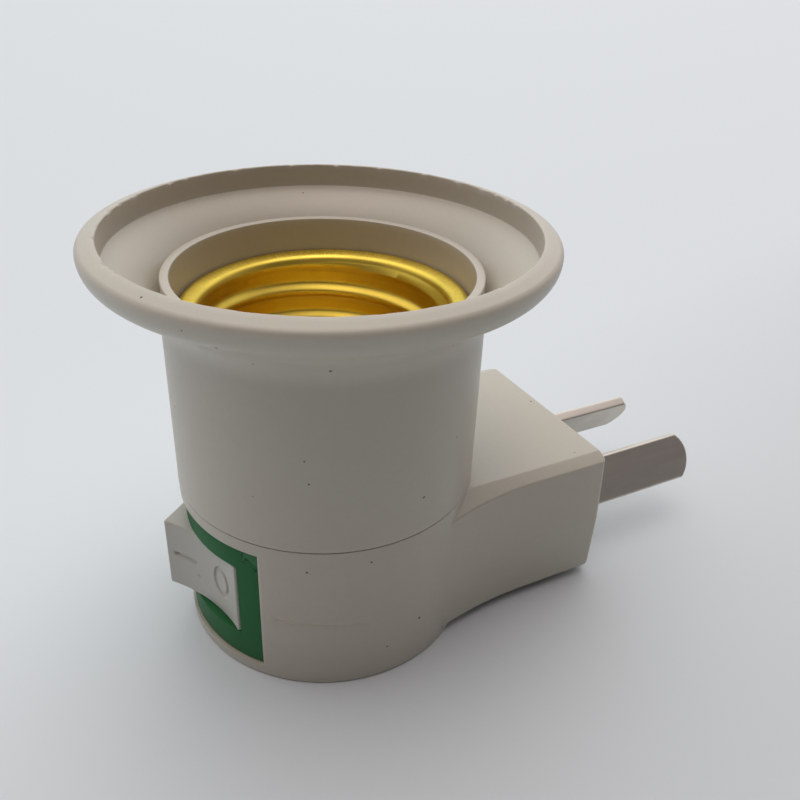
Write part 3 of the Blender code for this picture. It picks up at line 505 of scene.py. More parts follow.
def moulding_group():
    """Moulded plastic: slow tone shifts, dark specks of dirt in scattered cells, and a fine skin grain."""
    tree, given, result = new_group(
        "moulded_skin",
        [
            ("Colour", "NodeSocketColor", (1, 1, 1, 1)),
            ("Tone", "NodeSocketFloat", 0.06),
            ("Specks", "NodeSocketFloat", 0.5),
            ("Roughness", "NodeSocketFloat", 0.4),
        ],
        [("Colour", "NodeSocketColor"), ("Roughness", "NodeSocketFloat"), ("Height", "NodeSocketFloat")],
    )
    place = own_place(tree)
    slow = noise(tree, place, 90.0, 3.0)
    fine = noise(tree, place, 1400.0, 2.0)
    tone = maths(tree, "MULTIPLY_ADD", maths(tree, "SUBTRACT", slow, 0.5), given["Tone"], 1.0)
    grain = maths(tree, "MULTIPLY_ADD", maths(tree, "SUBTRACT", fine, 0.5), 0.06, tone)
    toned = vectors(tree, "SCALE", given["Colour"], grain)
    cells = put(tree, "ShaderNodeTexVoronoi", {"Vector": place, "Scale": SPECK_SCALE, "Randomness": 1.0})
    pick = put(tree, "ShaderNodeSeparateColor", {0: cells.outputs["Color"]})
    chosen = maths(tree, "GREATER_THAN", pick.outputs[0], SPECK_RARITY)
    reach = maths(tree, "MULTIPLY_ADD", maths(tree, "POWER", pick.outputs[1], 3.0), 0.07, 0.02)
    spot = maths(tree, "LESS_THAN", cells.outputs["Distance"], reach)
    dirt = maths(tree, "MULTIPLY", maths(tree, "MULTIPLY", spot, chosen), given["Specks"], clamp=True)
    tree.links.new(mixed(tree, dirt, toned, DIRT), result["Colour"])
    patch = maths(tree, "MULTIPLY_ADD", maths(tree, "SUBTRACT", slow, 0.5), 0.16, given["Roughness"])
    tree.links.new(patch, result["Roughness"])
    tree.links.new(maths(tree, "ADD", fine, maths(tree, "MULTIPLY", dirt, -2.0)), result["Height"])
    return tree


def brushing_group():
    """Drawn or brushed metal: fine streaks along one direction, with slow stains over them."""
    tree, given, result = new_group(
        "drawn_metal",
        [
            ("Colour", "NodeSocketColor", (1, 1, 1, 1)),
            ("Stretch", "NodeSocketVector", (1, 1, 1)),
            ("Roughness", "NodeSocketFloat", 0.3),
            ("Stain", "NodeSocketFloat", 0.2),
        ],
        [("Colour", "NodeSocketColor"), ("Roughness", "NodeSocketFloat"), ("Height", "NodeSocketFloat")],
    )
    place = own_place(tree)
    streak = noise(tree, vectors(tree, "MULTIPLY", place, given["Stretch"]), 1.0, 4.0, 0.6)
    stain = noise(tree, place, 160.0, 4.0, 0.6)
    dark = maths(tree, "MULTIPLY", spread(tree, stain, 0.45, 0.75), given["Stain"])
    shade = maths(tree, "SUBTRACT", maths(tree, "MULTIPLY_ADD", streak, 0.16, 0.92), dark)
    tree.links.new(vectors(tree, "SCALE", given["Colour"], shade), result["Colour"])
    rough = maths(tree, "MULTIPLY_ADD", streak, 0.14, given["Roughness"])
    tree.links.new(maths(tree, "MULTIPLY_ADD", dark, 0.5, rough), result["Roughness"])
    tree.links.new(streak, result["Height"])
    return tree


def finish_from(name, group, values, bump, sockets):
    """A material with one Principled shader, fed by a group. The bump is as deep as given."""
    made = bpy.data.materials.new(name)
    made.use_nodes = True
    tree = made.node_tree
    shader = tree.nodes["Principled BSDF"]
    for label, value in sockets.items():
        shader.inputs[label].default_value = value
    source = tree.nodes.new("ShaderNodeGroup")
    source.node_tree = group
    for label, value in values.items():
        source.inputs[label].default_value = value
    tree.links.new(source.outputs["Colour"], shader.inputs["Base Color"])
    tree.links.new(source.outputs["Roughness"], shader.inputs["Roughness"])
    relief = put(
        tree, "ShaderNodeBump", {"Height": source.outputs["Height"], "Strength": 1.0, "Distance": bump}
    )
    tree.links.new(relief.outputs[0], shader.inputs["Normal"])
    return made


def plastic(name, colour, tone, specks, rough, shine=0.5):
    values = {"Colour": (*colour, 1), "Tone": tone, "Specks": specks, "Roughness": rough}
    return finish_from(name, MOULDING, values, SKIN_GRAIN, {"Specular IOR Level": shine})


def metal(name, colour, stretch, rough, stain):
    values = {"Colour": (*colour, 1), "Stretch": stretch, "Roughness": rough, "Stain": stain}
    return finish_from(name, BRUSHING, values, METAL_GRAIN, {"Metallic": 1.0})


def between(finish, label):
    """A finish's tree, one input of its shader and the socket that feeds it, to set a node in between."""
    tree = finish.node_tree
    socket = tree.nodes["Principled BSDF"].inputs[label]
    return tree, socket, socket.links[0].from_socket


def knurl_lip(finish):
    """Fine radial rolling marks on the brass lip: bump and tone from noise of the angle round the axis."""
    tree, colour, toned = between(finish, "Base Color")
    place = own_place(tree)
    x, y, z = put(tree, "ShaderNodeSeparateXYZ", {0: place}).outputs
    turn = maths(tree, "ARCTAN2", y, x)
    square = maths(tree, "ADD", maths(tree, "MULTIPLY", x, x), maths(tree, "MULTIPLY", y, y))
    reach = maths(tree, "POWER", square, 0.5)
    polar = {0: maths(tree, "MULTIPLY", turn, 75.0), 1: maths(tree, "MULTIPLY", reach, 500.0)}
    marks = noise(tree, put(tree, "ShaderNodeCombineXYZ", polar).outputs[0], 1.0, 2.0, 0.6)
    here = maths(tree, "MULTIPLY", spread(tree, z, 0.0386, 0.0393), spread(tree, reach, 0.0136, 0.0141))
    bite = maths(tree, "MULTIPLY", maths(tree, "SUBTRACT", marks, 0.5), here)
    shade = maths(tree, "MULTIPLY_ADD", bite, 0.5, 1.0)
    tree.links.new(vectors(tree, "SCALE", toned, shade), colour)
    _, normal, relief = between(finish, "Normal")
    rolled = {"Height": bite, "Strength": 1.0, "Distance": KNURL_DEPTH, "Normal": relief}
    tree.links.new(put(tree, "ShaderNodeBump", rolled).outputs[0], normal)
    return finish


def torn_corner(finish):
    """A torn flake at the upper right corner of the green insert: a paler patch with a broken dark rim, where
    the distance to its middle, warped by noise, falls below its size."""
    tree, colour, toned = between(finish, "Base Color")
    place = own_place(tree)
    coarse = {"Vector": place, "Scale": 1100.0, "Detail": 4.0}
    warp = put(tree, "ShaderNodeTexNoise", coarse).outputs["Color"]
    shift = vectors(tree, "MULTIPLY", vectors(tree, "SUBTRACT", warp, (0.5,) * 3), (0.0034,) * 3)
    angle, height = TORN_AT
    middle = tuple(MM * v for v in (FRAME_FACE * math.cos(angle), FRAME_FACE * math.sin(angle), height))
    away = vectors(tree, "DISTANCE", vectors(tree, "ADD", shift, place), middle, "Value")
    patch = spread(tree, away, TORN_REACH, TORN_REACH - 0.00025)
    ring = spread(tree, away, TORN_REACH + 0.0003, TORN_REACH + 0.0001)
    rim = maths(tree, "SUBTRACT", ring, patch, clamp=True)
    broken = spread(tree, noise(tree, place, 2300.0, 2.0), 0.44, 0.56)
    pale = mixed(tree, maths(tree, "MULTIPLY", patch, 0.7), toned, TORN_PALE)
    tree.links.new(mixed(tree, maths(tree, "MULTIPLY", rim, broken), pale, TORN_DARK), colour)
    return finish


# Pieces


def wobble(angle, seed, amounts):
    """A closed random wave: the sum of sines of the angle with seeded phases."""
    phases = np.random.default_rng(seed).uniform(0, math.tau, len(amounts))
    return sum(a * np.sin(k * angle + p) for (k, a), p in zip(amounts, phases))


def bell_profile():
    """Half section of the upper shell: tube, fillet, straight flare, rim, curved floor, groove, collar and
    spigot. The rim's underside is part of an ellipse, its outer corner an arc, and its top rises gently to
    the mouth's edge."""
    turn = math.atan2(RIM_HANG, RIM_DEPTH * math.tan(FLARE_LEAN))
    a = np.linspace(turn, 0, 16)[:-1]
    inside = RIM[0] - RIM_DEPTH
    hang = np.stack([inside + RIM_DEPTH * np.cos(a), RIM[1] - RIM_HANG * np.sin(a)], axis=1)
    over = arc((RIM[0] - RIM_CORNER, RIM[1]), RIM_CORNER, 0, RIM_ARC, 16)
    touch = np.vstack([hang, over, (MOUTH, LIP_TOP)])
    meet = touch[0, 1] - (touch[0, 0] - TUBE) * math.tan(FLARE_LEAN)
    start = meet - FLARE_FILLET * math.tan((math.pi / 2 - FLARE_LEAN) / 2)
    neck = arc((TUBE + FLARE_FILLET, start), FLARE_FILLET, math.pi, math.pi / 2 + FLARE_LEAN, 20)
    t = np.linspace(0, 1, 26)[1:-1, None]
    top = np.array((MOUTH - MOUTH_DRAFT, MOUTH_FLOOR))
    floor = (1 - t) ** 2 * top + 2 * t * (1 - t) * np.array(FLOOR_BEND) + t**2 * np.array(GROOVE)
    edges = np.array([
        (COLLAR, COLLAR_TOP), (BORE, COLLAR_TOP), (BORE, BORE_FOOT), (SPIGOT_BORE, SPIGOT_SHOULDER),
        (SPIGOT_BORE, SPIGOT_BOTTOM), (SPIGOT, SPIGOT_BOTTOM), (SPIGOT, SEAM_TOP), (TUBE, SEAM_TOP),
    ])
    line = np.vstack([neck, touch, top, floor, GROOVE, (COLLAR, GROOVE[1]), edges])
    radii = np.zeros(len(line))
    radii[len(neck) + len(touch) - 1] = 0.2
    radii[len(neck) + len(touch)] = 0.1
    radii[-len(edges):] = (0.13, 0.13, 0.2, 0.2, 0.1, 0.1, 0.05, 0.06)
    profile = distinct(rounded(line, radii, 3))
    return refined(np.vstack([profile, profile[:1]]), 0.7)[:-1]


def upper_shell(finish):
    """Revolved bell mouth, whose edge wanders by a few hundredths of a millimetre and has small chips."""
    profile = bell_profile()
    grid = turned(profile, 360)
    angle = np.arctan2(grid[..., 1], grid[..., 0])
    across, above = (profile - (MOUTH, LIP_TOP)).T
    edge = np.exp(-((across / 0.28) ** 2) - (above / 0.3) ** 2)[:, None]
    chips = sum(
        depth * np.exp(-((np.angle(np.exp(1j * (angle - math.radians(at)))) / math.radians(wide)) ** 2))
        for at, wide, depth in RIM_CHIPS
    )
    wear = wobble(angle, 4, [(9, 0.010), (23, 0.010), (41, 0.008), (77, 0.008)]) + chips
    grid[..., 2] -= edge * wear
    grid[..., :2] *= 1 + (edge * wear * 0.6 / MOUTH)[..., None]
    return skin("bell_tube", grid, finish, ring=True)


def block_form():
    """Plug block as rounded cross-sections carried along X. The half-width follows the blend arc near the
    drum, w(x) = h + R - sqrt(R^2 - (x - c)^2), and the last sections shrink round the end's edges."""
    seat = DRUM - BLOCK_SEAT
    centre = math.sqrt((seat + BLEND) ** 2 - (BLOCK_HALF + BLEND) ** 2)
    corner, rim = BLOCK_EDGE, BLOCK_RIM
    blend = np.linspace(BLOCK_ROOT, centre, 40)
    a = np.linspace(0, math.pi / 2, 9)
    x = np.r_[blend, 25.0, 28.0, BLOCK_END - corner + corner * np.sin(a)]
    off = np.minimum(x - centre, 0)
    half = BLOCK_HALF + BLEND - np.sqrt(BLEND**2 - off**2)
    turn = np.maximum(x - (BLOCK_END - corner), 0)
    half = half - (corner - np.sqrt(np.maximum(corner**2 - turn**2, 0)))
    turn = np.maximum(x - (BLOCK_END - rim), 0)
    drop = rim - np.sqrt(np.maximum(rim**2 - turn**2, 0))
    under = BLOCK_UNDER + drop * 2
    top = BLOCK_TOP - drop
    inner = half - BLOCK_DRAFT
    crease = np.minimum(ROOF_HALF, inner - 0.3)
    side_top = top - ROOF_SLOPE * (inner - ROOF_HALF)
    parts = [
        (inner, under), (half, 0 * x + PARTING), (inner, side_top), (crease, top),
        (-crease, top), (-inner, side_top), (-half, 0 * x + PARTING), (-inner, under),
    ]
    corners = np.stack([np.stack(p, -1) for p in parts], axis=1)
    radii = (1.1, 3.0, 0.35, 0.8, 0.8, 0.35, 3.0, 1.1)
    section = rounded(corners, radii, 5)
    grid = np.concatenate([np.broadcast_to(x[:, None, None], (*section.shape[:2], 1)), section], axis=-1)
    return skin("block_form", grid)


def drum_wall():
    """Revolved drum with a raised parting line on the camera's side, which dips a little and fades out."""
    edges = np.array([(0.4, 0.0), (DRUM_BASE, 0.0), (DRUM, PARTING), (DRUM, SEAM_BOTTOM), (0.4, SEAM_BOTTOM)])
    profile = distinct(rounded(edges, (0, 0.3, 3.0, 0.07, 0), 4))
    r, z = profile[:-1].T
    profile = refined(profile, np.where((z > 0.3) & (z < 19) & (r > 16.9), 0.6, 20.0))
    # Finer rows where the parting line runs
    low, high = PARTING_ROWS
    r, z = profile.T
    coarse = np.flatnonzero((r > 16.9) & (z > low - 0.1) & (z < high + 0.1))
    fine = np.linspace(low, high, 30)
    rows = np.stack([np.interp(fine, [0, PARTING, 19], [DRUM_BASE, DRUM, DRUM]), fine], axis=1)
    profile = np.vstack([profile[:coarse[0]], rows, profile[coarse[-1] + 1:]])
    grid = turned(profile, 288)
    angle = np.degrees(np.arctan2(grid[..., 1], grid[..., 0]))
    dip = 9.35 - 0.5 * smooth(-131, -100, angle)
    here = smooth(-141, -139, angle) * (1 - smooth(-118, -86, angle)) * (grid[..., 2] > 8)
    raised = PARTING_RAISED * here * np.exp(-(((grid[..., 2] - dip) / PARTING_WIDTH) ** 2))
    raised *= 1 + 0.5 * wobble(np.radians(angle), 9, [(61, 0.6), (97, 0.6)])
    grid[..., :2] *= (1 + raised / DRUM)[..., None]
    return grid


def lower_housing(finish):
    """The drum is joined to the plug block, then hollowed and cut for the switch window and the blades.
    Posts for the carrier's screws and ribs under the carrier stand inside."""
    drum = skin("drum_housing", drum_wall(), finish)
    top = DRUM_INSIDE_TOP
    hollow = turned(np.array([(0.4, FLOOR), (DRUM_BORE, FLOOR), (DRUM_BORE, top), (0.4, top)]), 288)
    cuts = [skin("drum_hollow", hollow, None)]
    cavity = box_form(
        (CAVITY_START, -CAVITY_HALF, CAVITY_LOW), (BLOCK_END - BLOCK_WALL, CAVITY_HALF, CAVITY_HIGH)
    )
    cuts.append(skin("block_hollow", cavity))
    cuts.append(skin("window_cut", window_form()))
    posts, holes = [], []
    for side in (-1, 1):
        cuts.append(skin(f"slot_cut_{side}", slot_form(side)))
        place = (POST[0], side * POST[1])
        post = pin(POST_RADIUS, RIB_FOOT, UNDER_CARRIER, place, 40)
        posts.append(skin(f"post_{side}", post))
        holes.append(skin(f"post_hole_{side}", pin(POST_HOLE, 5.9, 17.5, place)))
    for degrees in (60, 90, 120, 240, 270, 300):
        rib = box_form((14.2, -0.6, RIB_FOOT), (16.45, 0.6, UNDER_CARRIER))
        rib = moved(rib, Matrix.Rotation(math.radians(degrees), 4, "Z"))
        posts.append(skin(f"rib_{degrees}", rib))
    return carved(drum, [block_form()], cuts, posts, holes)


def window_form():
    """Cutter of the switch window: a ring sector, widened above, below and at both ends where it passes the
    drum's surface, which breaks the window's edge. Its inner radius steps in between the two levels."""
    skin_radius = DRUM - CHAMFER_DEPTH
    far = DRUM + 0.2
    wide = WINDOW + CHAMFER / DRUM
    rows = []
    for z, inner in (
        (WINDOW_LOW - CHAMFER, far - 0.02), (WINDOW_LOW - 0.01, skin_radius), (WINDOW_LOW, WINDOW_BACK),
        (WINDOW_HIGH, WINDOW_BACK), (WINDOW_HIGH + 0.01, skin_radius), (WINDOW_HIGH + CHAMFER, far - 0.02),
    ):
        middle = max(inner, skin_radius)
        share = (middle - skin_radius) / (far - skin_radius)
        step = WINDOW + share * (wide - WINDOW)
        out = arc((0, 0), far, math.pi - wide, math.pi + wide, 60)
        knee = arc((0, 0), middle, math.pi + step, math.pi - step, 2)
        back = arc((0, 0), inner - 0.005, math.pi + step, math.pi - step, 60)
        plan = np.vstack([out, knee[:1], back, knee[1:]])
        rows.append(np.column_stack([plan, np.full(len(plan), z)]))
    return np.stack(rows)


def blade_place(side):
    """Stands the blade's own frame, X along and Z across its width, at its tilt and side."""
    tilt = Matrix.Rotation(side * BLADE_LEAN, 4, "X")
    return Matrix.Translation((0, side * BLADE_Y, BLADE_Z)) @ tilt


def slot_form(side):
    """Cutter of one blade slot, flared at the face of the block."""
    half = np.array([BLADE_THICK / 2 + SLOT_GAP, BLADE_WIDTH / 2 + SLOT_GAP])
    loop = rounded(np.array([(-1, -1), (1, -1), (1, 1), (-1, 1)]) * half, (0.3,) * 4, 3)
    x = np.array([BLOCK_END - 4, BLOCK_END - 0.12, BLOCK_END + 0.3])
    grow = np.array([0, 0, SLOT_FLARE])
    flare = -inward_normals(loop)
    plan = loop[None] + flare[None] * grow[:, None, None]
    grid = np.concatenate([np.broadcast_to(x[:, None, None], (3, len(loop), 1)), plan], axis=-1)
    return moved(grid, blade_place(side))


def switch_frame(finish):
    """Green insert: a face plate that follows the drum, a flange behind it and the walled pocket."""
    half = WINDOW - FRAME_GAP / FRAME_FACE
    out = arc((0, 0), FRAME_FACE, math.pi - half, math.pi + half, 90)
    back = arc((0, 0), FRAME_FACE - BEZEL, math.pi + half, math.pi - half, 90)
    outline = distinct(rounded(np.vstack([out, back]), rim_radii(90), 3))
    face = slab(outline, WINDOW_LOW + FRAME_GAP, WINDOW_HIGH - FRAME_GAP, 0.12, 3)
    plate = skin("switch_bezel", face, finish)
    flange = ring_sector(FLANGE_INNER, FLANGE_OUTER, WINDOW + FLANGE_LAP, *FLANGE_SPAN)
    low, high = OPENING_LOW - CHAMBER_WALL, OPENING_HIGH + CHAMBER_WALL
    swing = math.asin(POCKET_HALF / POCKET_FRONT)
    front = arc((0, 0), POCKET_FRONT, math.pi - swing, math.pi + swing, 24)
    pocket = np.vstack([front, [(POCKET_BACK, -POCKET_HALF), (POCKET_BACK, POCKET_HALF)]])
    chamber = box_form((CHAMBER_FRONT, -CHAMBER_HALF, low), (CHAMBER_BACK, CHAMBER_HALF, high))
    inside = CHAMBER_HALF - CHAMBER_WALL
    room = box_form((-9.9, -inside, OPENING_LOW), (CHAMBER_BACK - CHAMBER_WALL, inside, OPENING_HIGH))
    joined = [
        skin("flange_form", flange),
        skin("pocket_form", slab(pocket, low, high)),
        skin("chamber_form", chamber),
    ]
    removed = [
        skin("mouth_cut", mouth_form()),
        skin("chamber_cut", room),
        skin("bearing_cut", pin(BEARING_RADIUS, *BEARING_SPAN, (PIVOT, 0))),
    ]
    for y in (0.0, -CONTACT_OFFSET):
        slot = box_form((-3.0, y - 0.5, ROCKER_MID - 2.0), (0.0, y + 0.5, ROCKER_MID + 2.0))
        removed.append(skin(f"tab_cut_{y}", slot))
    return carved(plate, joined, removed)


def rim_radii(count):
    """Small radii at the four corners of a sector outline, none along its arcs."""
    radii = np.zeros(2 * count)
    radii[[0, count - 1, count, -1]] = (0.12, 0.12, 0.1, 0.1)
    return radii


def mouth_form():
    """Cutter of the rocker's opening: rounded corners, straight through the pocket, flared at the face."""
    half = OPENING_HALF
    corners = [(-half, OPENING_LOW), (half, OPENING_LOW), (half, OPENING_HIGH), (-half, OPENING_HIGH)]
    loop = rounded(corners, (OPENING_CORNER,) * 4, 4)
    loop = refined(np.vstack([loop, loop[:1]]), 0.5)[:-1]
    out = -inward_normals(loop)
    depth = np.array([CHAMBER_FRONT, 0.0, 0.0, -19.5])
    grow = np.array([0.0, 0.0, OPENING_FLARE, OPENING_FLARE])
    lift = np.array([0.0, -0.1, 0.1, 0.0])
    plan = loop[None] + out[None] * grow[:, None, None]
    bow = -np.sqrt(FRAME_FACE**2 - plan[..., 0] ** 2)
    x = np.where(lift[:, None] == 0, depth[:, None], bow - lift[:, None])
    return np.stack([x, plan[..., 0], plan[..., 1]], axis=-1)


def rocker_outline():
    """The rocker in plan about its pivot: dished front, flanks, hub and nose. The front is finely divided,
    because the marks are pressed into it."""
    radius = (ROCKER_HALF**2 + ROCKER_DISH**2) / (2 * ROCKER_DISH)
    swing = math.asin(ROCKER_HALF / radius)
    front = arc((-ROCKER_REACH + ROCKER_DISH - radius, 0), radius, -swing, swing, 11)
    slant = ROCKER_FLANK * np.array((math.cos(ROCKER_SLOPE), math.sin(ROCKER_SLOPE)))
    flank = (-ROCKER_REACH, ROCKER_HALF) + slant
    hub = arc((0, 0), ROCKER_HUB, math.radians(110), math.radians(60), 8)
    nose = np.array([(2.2, 2.2), (3.4, 1.5)])
    upper = np.vstack([flank, flank + (0.6, -0.4), hub, nose])
    lower = upper[::-1] * (1, -1)
    radii = np.zeros(len(front) + 2 * len(upper))
    nose_at = len(front) + len(upper)
    radii[0] = 0.18
    radii[[len(front) - 1, len(front), -1]] = ROCKER_CORNER
    radii[nose_at - 2:nose_at + 2] = ROCKER_CORNER
    outline = distinct(rounded(np.vstack([front, upper, lower]), radii, 5))
    closed = np.vstack([outline, outline[:1]])
    middle = (closed[:-1] + closed[1:]) / 2
    outline = refined(closed, np.where(middle[:, 0] < -5.6, 0.075, 0.8))[:-1]
    dished = (outline[:, 0] < -5.6) & (np.abs(outline[:, 1]) < 5.6)
    bowl = -ROCKER_REACH + ROCKER_DISH - radius + np.sqrt(radius**2 - outline[:, 1] ** 2)
    outline[:, 0] = np.where(dished, bowl, outline[:, 0])
    return outline


def press_marks(grid):
    """Presses the bar, the ring and two small pits into the front. The depth falls off smoothly across
    each stroke."""
    s, z = grid[..., 1], grid[..., 2] + ROCKER_MID
    middle, height, half = BAR
    bar = np.hypot(np.maximum(np.abs(s - middle) - half, 0), z - height)
    middle, height, wide, high = RING
    ring = np.abs(np.hypot((s - middle) / wide, (z - height) / high) - 1) * 1.5
    stroke = np.maximum(1 - smooth(0.12, 0.42, bar), 1 - smooth(0.12, 0.36, ring))
    gate = 0.5 * (1 - smooth(0.1, 0.34, np.hypot(s - GATE[0], z - GATE[1])))
    pit = 0.6 * (1 - smooth(0.1, 0.34, np.hypot(s - BAR_END[0], z - BAR_END[1])))
    face = grid[..., 0] < -4.5
    grid[..., 0] += face * MARK_DEPTH * (stroke + gate + pit)


def rocker(finish):
    """The plan outline carried up in Z with rounded rims, with a hinge pin and the plunger's bore."""
    grid = slab(rocker_outline(), -ROCKER_HALF_HEIGHT, ROCKER_HALF_HEIGHT, ROCKER_RIM, 6, 104)
    press_marks(grid)
    turn = Matrix.Translation((PIVOT, 0, ROCKER_MID)) @ Matrix.Rotation(ROCKER_REST, 4, "Z")
    body = skin("rocker_cap", moved(grid, turn), finish)
    hinge = pin(HINGE_RADIUS, *HINGE_SPAN, (PIVOT, 0))
    bore = moved(pin(PLUNGER_BORE, -1.6, 4.4), turn @ Matrix.Rotation(math.pi / 2, 4, "Y"))
    return carved(body, [skin("hinge_form", hinge)], [skin("bore_cut", bore)], sharp=38)


def screw_shell(finish):
    """Drawn brass shell. Wall radius = base - ridge(z, angle), where the ridge is a narrow rounded wave of
    the height above the helix z = h + pitch (angle - phase) / 2 pi, fading out towards mouth and floor. The
    mouth turns out into a nearly flat lip with a rolled edge, which sits a little higher on the +X side."""
    wall_in = np.stack([np.full(180, SHELL_BORE), np.linspace(SHELL_FOOT, SHELL_HEAD, 180)], 1)
    outside = np.linspace(SHELL_HEAD - SHELL_WALL, SHELL_FOOT, 90)
    wall_out = np.stack([np.full(90, SHELL_BORE + SHELL_WALL), outside], 1)
    floor_out = np.array([(13.82, 19.4), (13.6, 18.85), (13.2, SHELL_FLOOR), (7.0, SHELL_FLOOR)])
    floor_in = np.array([(7.0, 19.0), (12.9, 19.0), (13.25, 19.2), (13.42, 19.6)])
    profile = np.vstack([wall_in, rounded_line(np.array(SHELL_LIP)), wall_out, floor_out, floor_in])
    profile = refined(np.vstack([profile, profile[:1]]), 0.8)[:-1]
    grid = turned(profile, 240)
    z = grid[..., 2]
    angle = np.arctan2(grid[..., 1], grid[..., 0])
    height = z - (THREAD_HEIGHT + THREAD_PITCH * (angle - THREAD_PHASE) / math.tau)
    wave = 0.5 + 0.5 * np.cos(math.tau * height / THREAD_PITCH)
    r = np.hypot(grid[..., 0], grid[..., 1])
    fade = (1 - smooth(37.6, 39.2, z)) * smooth(19.9, 21.6, z) * (r < 13.9)
    grid[..., :2] *= (1 - THREAD_DEPTH * wave**THREAD_SHARPNESS * fade / r)[..., None]
    grid[..., 2] += LIP_LEAN * np.cos(angle - LIP_LEAN_TOWARD) * smooth(37.5, 39.3, z)
    shell = skin("brass_screw_shell", grid, finish, ring=True)
    places = [(POST_HOLE, POST), (POST_HOLE, (POST[0], -POST[1])), (RIVET_HOLE, (FLANGE_RIVET, 0))]
    holes = [skin(f"flange_hole_{k}", pin(radius, 18.0, 19.35, place))
             for k, (radius, place) in enumerate(places)]
    return carved(shell, [], holes, sharp=38)


def rounded_line(line, steps=4):
    """A smooth open line through the given points: each segment is a cubic, which has at each end the slope
    between the neighbours."""
    before = np.vstack([2 * line[0] - line[1], line[:-2]])
    after = np.vstack([line[2:], 2 * line[-1] - line[-2]])
    t = (np.arange(steps) / steps)[None, :, None]
    p0, p1, p2, p3 = (p[:, None] for p in (before, line[:-1], line[1:], after))
    square = 2 * p0 - 5 * p1 + 4 * p2 - p3
    cube = 3 * p1 - p0 - 3 * p2 + p3
    cubic = 0.5 * (2 * p1 + (p2 - p0) * t + square * t**2 + cube * t**3)
    return np.vstack([cubic.reshape(-1, 2), line[-1:]])


def blade(name, side, finish):
    """A flat blade with an arched tip, its rims rounded: a slab laid on its side, then tilted."""
    half = BLADE_WIDTH / 2
    swing = math.asin(half / BLADE_TIP_RADIUS)
    tip = arc((BLADE_TIP - BLADE_TIP_RADIUS, 0), BLADE_TIP_RADIUS, -swing, swing, 9)
    outline = np.vstack([[(BLADE_TAIL, half), (BLADE_TAIL, -half)], tip])
    radii = np.zeros(len(outline))
    radii[[0, 1]] = BLADE_RIM
    radii[[2, -1]] = 0.45
    radii[3:-1] = 3.9
    outline = distinct(rounded(outline, radii, 5))
    grid = slab(outline, -BLADE_THICK / 2, BLADE_THICK / 2, BLADE_RIM, 5)
    grid = grid[..., [0, 2, 1]]
    body = skin(name, moved(grid, blade_place(side)), finish)
    across = Matrix.Translation((BLADE_TAIL + 1.5, 0, 0)) @ Matrix.Rotation(math.pi / 2, 4, "X")
    hole = moved(pin(0.9, -3, 3), blade_place(side) @ across)
    return carved(body, [], [skin(name + "_hole", hole)])


def centre_contact(finish):
    """Springy tongue: a rounded strip section carried along a bent line, narrowing round at both ends."""
    base, top = TONGUE_BASE, TONGUE_TOP
    line = np.array([
        (5.7, base), (1.7, base), (0.8, base + 0.4), (0.1, base + 1.3), (-0.8, top - 0.7), (-1.7, top - 0.1),
        (-2.8, top), (-3.9, top - 0.4), (-4.6, top - 1.1),
    ])
    t = np.linspace(0, len(line) - 1, 90)
    path = np.stack([np.interp(t, np.arange(len(line)), line[:, k]) for k in range(2)], 1)
    kernel = np.hanning(13) / np.hanning(13).sum()
    soft = np.stack([np.convolve(np.pad(path[:, k], 6, "edge"), kernel, "valid") for k in range(2)], 1)
    along = np.gradient(soft, axis=0)
    along /= np.linalg.norm(along, axis=1)[:, None]
    up = np.stack([-along[:, 1], along[:, 0]], 1)
    ends = np.minimum(np.linalg.norm(soft - soft[0], axis=1), np.linalg.norm(soft - soft[-1], axis=1))
    wider = TONGUE_HALF - TONGUE_END
    half = TONGUE_END + wider * np.sqrt(1 - (1 - np.clip(ends / wider, 0, 1)) ** 2)
    strip = np.array([(-1, -0.2), (1, -0.2), (1, 0.2), (-1, 0.2)]) * (TONGUE_HALF, 1.0)
    loop = rounded(strip, (0.14,) * 4, 3)
    y = loop[None, :, 0] * (half / TONGUE_HALF)[:, None]
    x = soft[:, None, 0] + up[:, None, 0] * loop[None, :, 1]
    z = soft[:, None, 1] + up[:, None, 1] * loop[None, :, 1]
    tongue = skin("centre_tongue", np.stack([x, y, z], -1), finish)
    hole = skin("tongue_hole", pin(RIVET_HOLE, 18.0, 19.6, (CENTRE_RIVET, 0)))
    return carved(tongue, [], [hole], sharp=38)


def rivet(name, x, seat, finish):
    """Revolved rivet with a domed head above and a spread tail below the carrier."""
    dome = arc((0, 0), 1, math.radians(4), math.radians(88), 12) * (RIVET_HEAD, RIVET_DOME) + (0, seat)
    tail = [
        (0.1, 15.4), (1.2, 15.4), (RIVET_HEAD, 15.7), (RIVET_HEAD, UNDER_CARRIER),
        (RIVET_SHANK, UNDER_CARRIER), (RIVET_SHANK, seat),
    ]
    grid = turned(np.vstack([tail, dome]), 48) + (x, 0, 0)
    return skin(name, grid, finish)


def carrier_screw(name, side, finish):
    """Pan-head screw: revolved head and shank, with a cross recess cut into the head."""
    seat = SCREW_SEAT
    dome = arc((0, 0), 1, math.radians(8), math.radians(86), 14) * (SCREW_HEAD, 1.3) + (0, seat)
    shank = [(0.1, 6.6), (0.5, 7.1), (SCREW_SHANK, 7.8), (SCREW_SHANK, seat), (SCREW_HEAD - 0.1, seat)]
    place = (POST[0], side * POST[1], 0)
    head = skin(name, turned(np.vstack([shank, dome]), 56) + place, finish)
    cuts = []
    for turn in (20 * side, 90 + 20 * side):
        form = box_form((-1.25, -0.3, seat + 0.55), (1.25, 0.3, seat + 2.5))
        grid = moved(form, Matrix.Translation(place) @ Matrix.Rotation(math.radians(turn), 4, "Z"))
        cuts.append(skin(f"{name}_cross_{turn}", grid))
    return carved(head, [], cuts)


# Scene


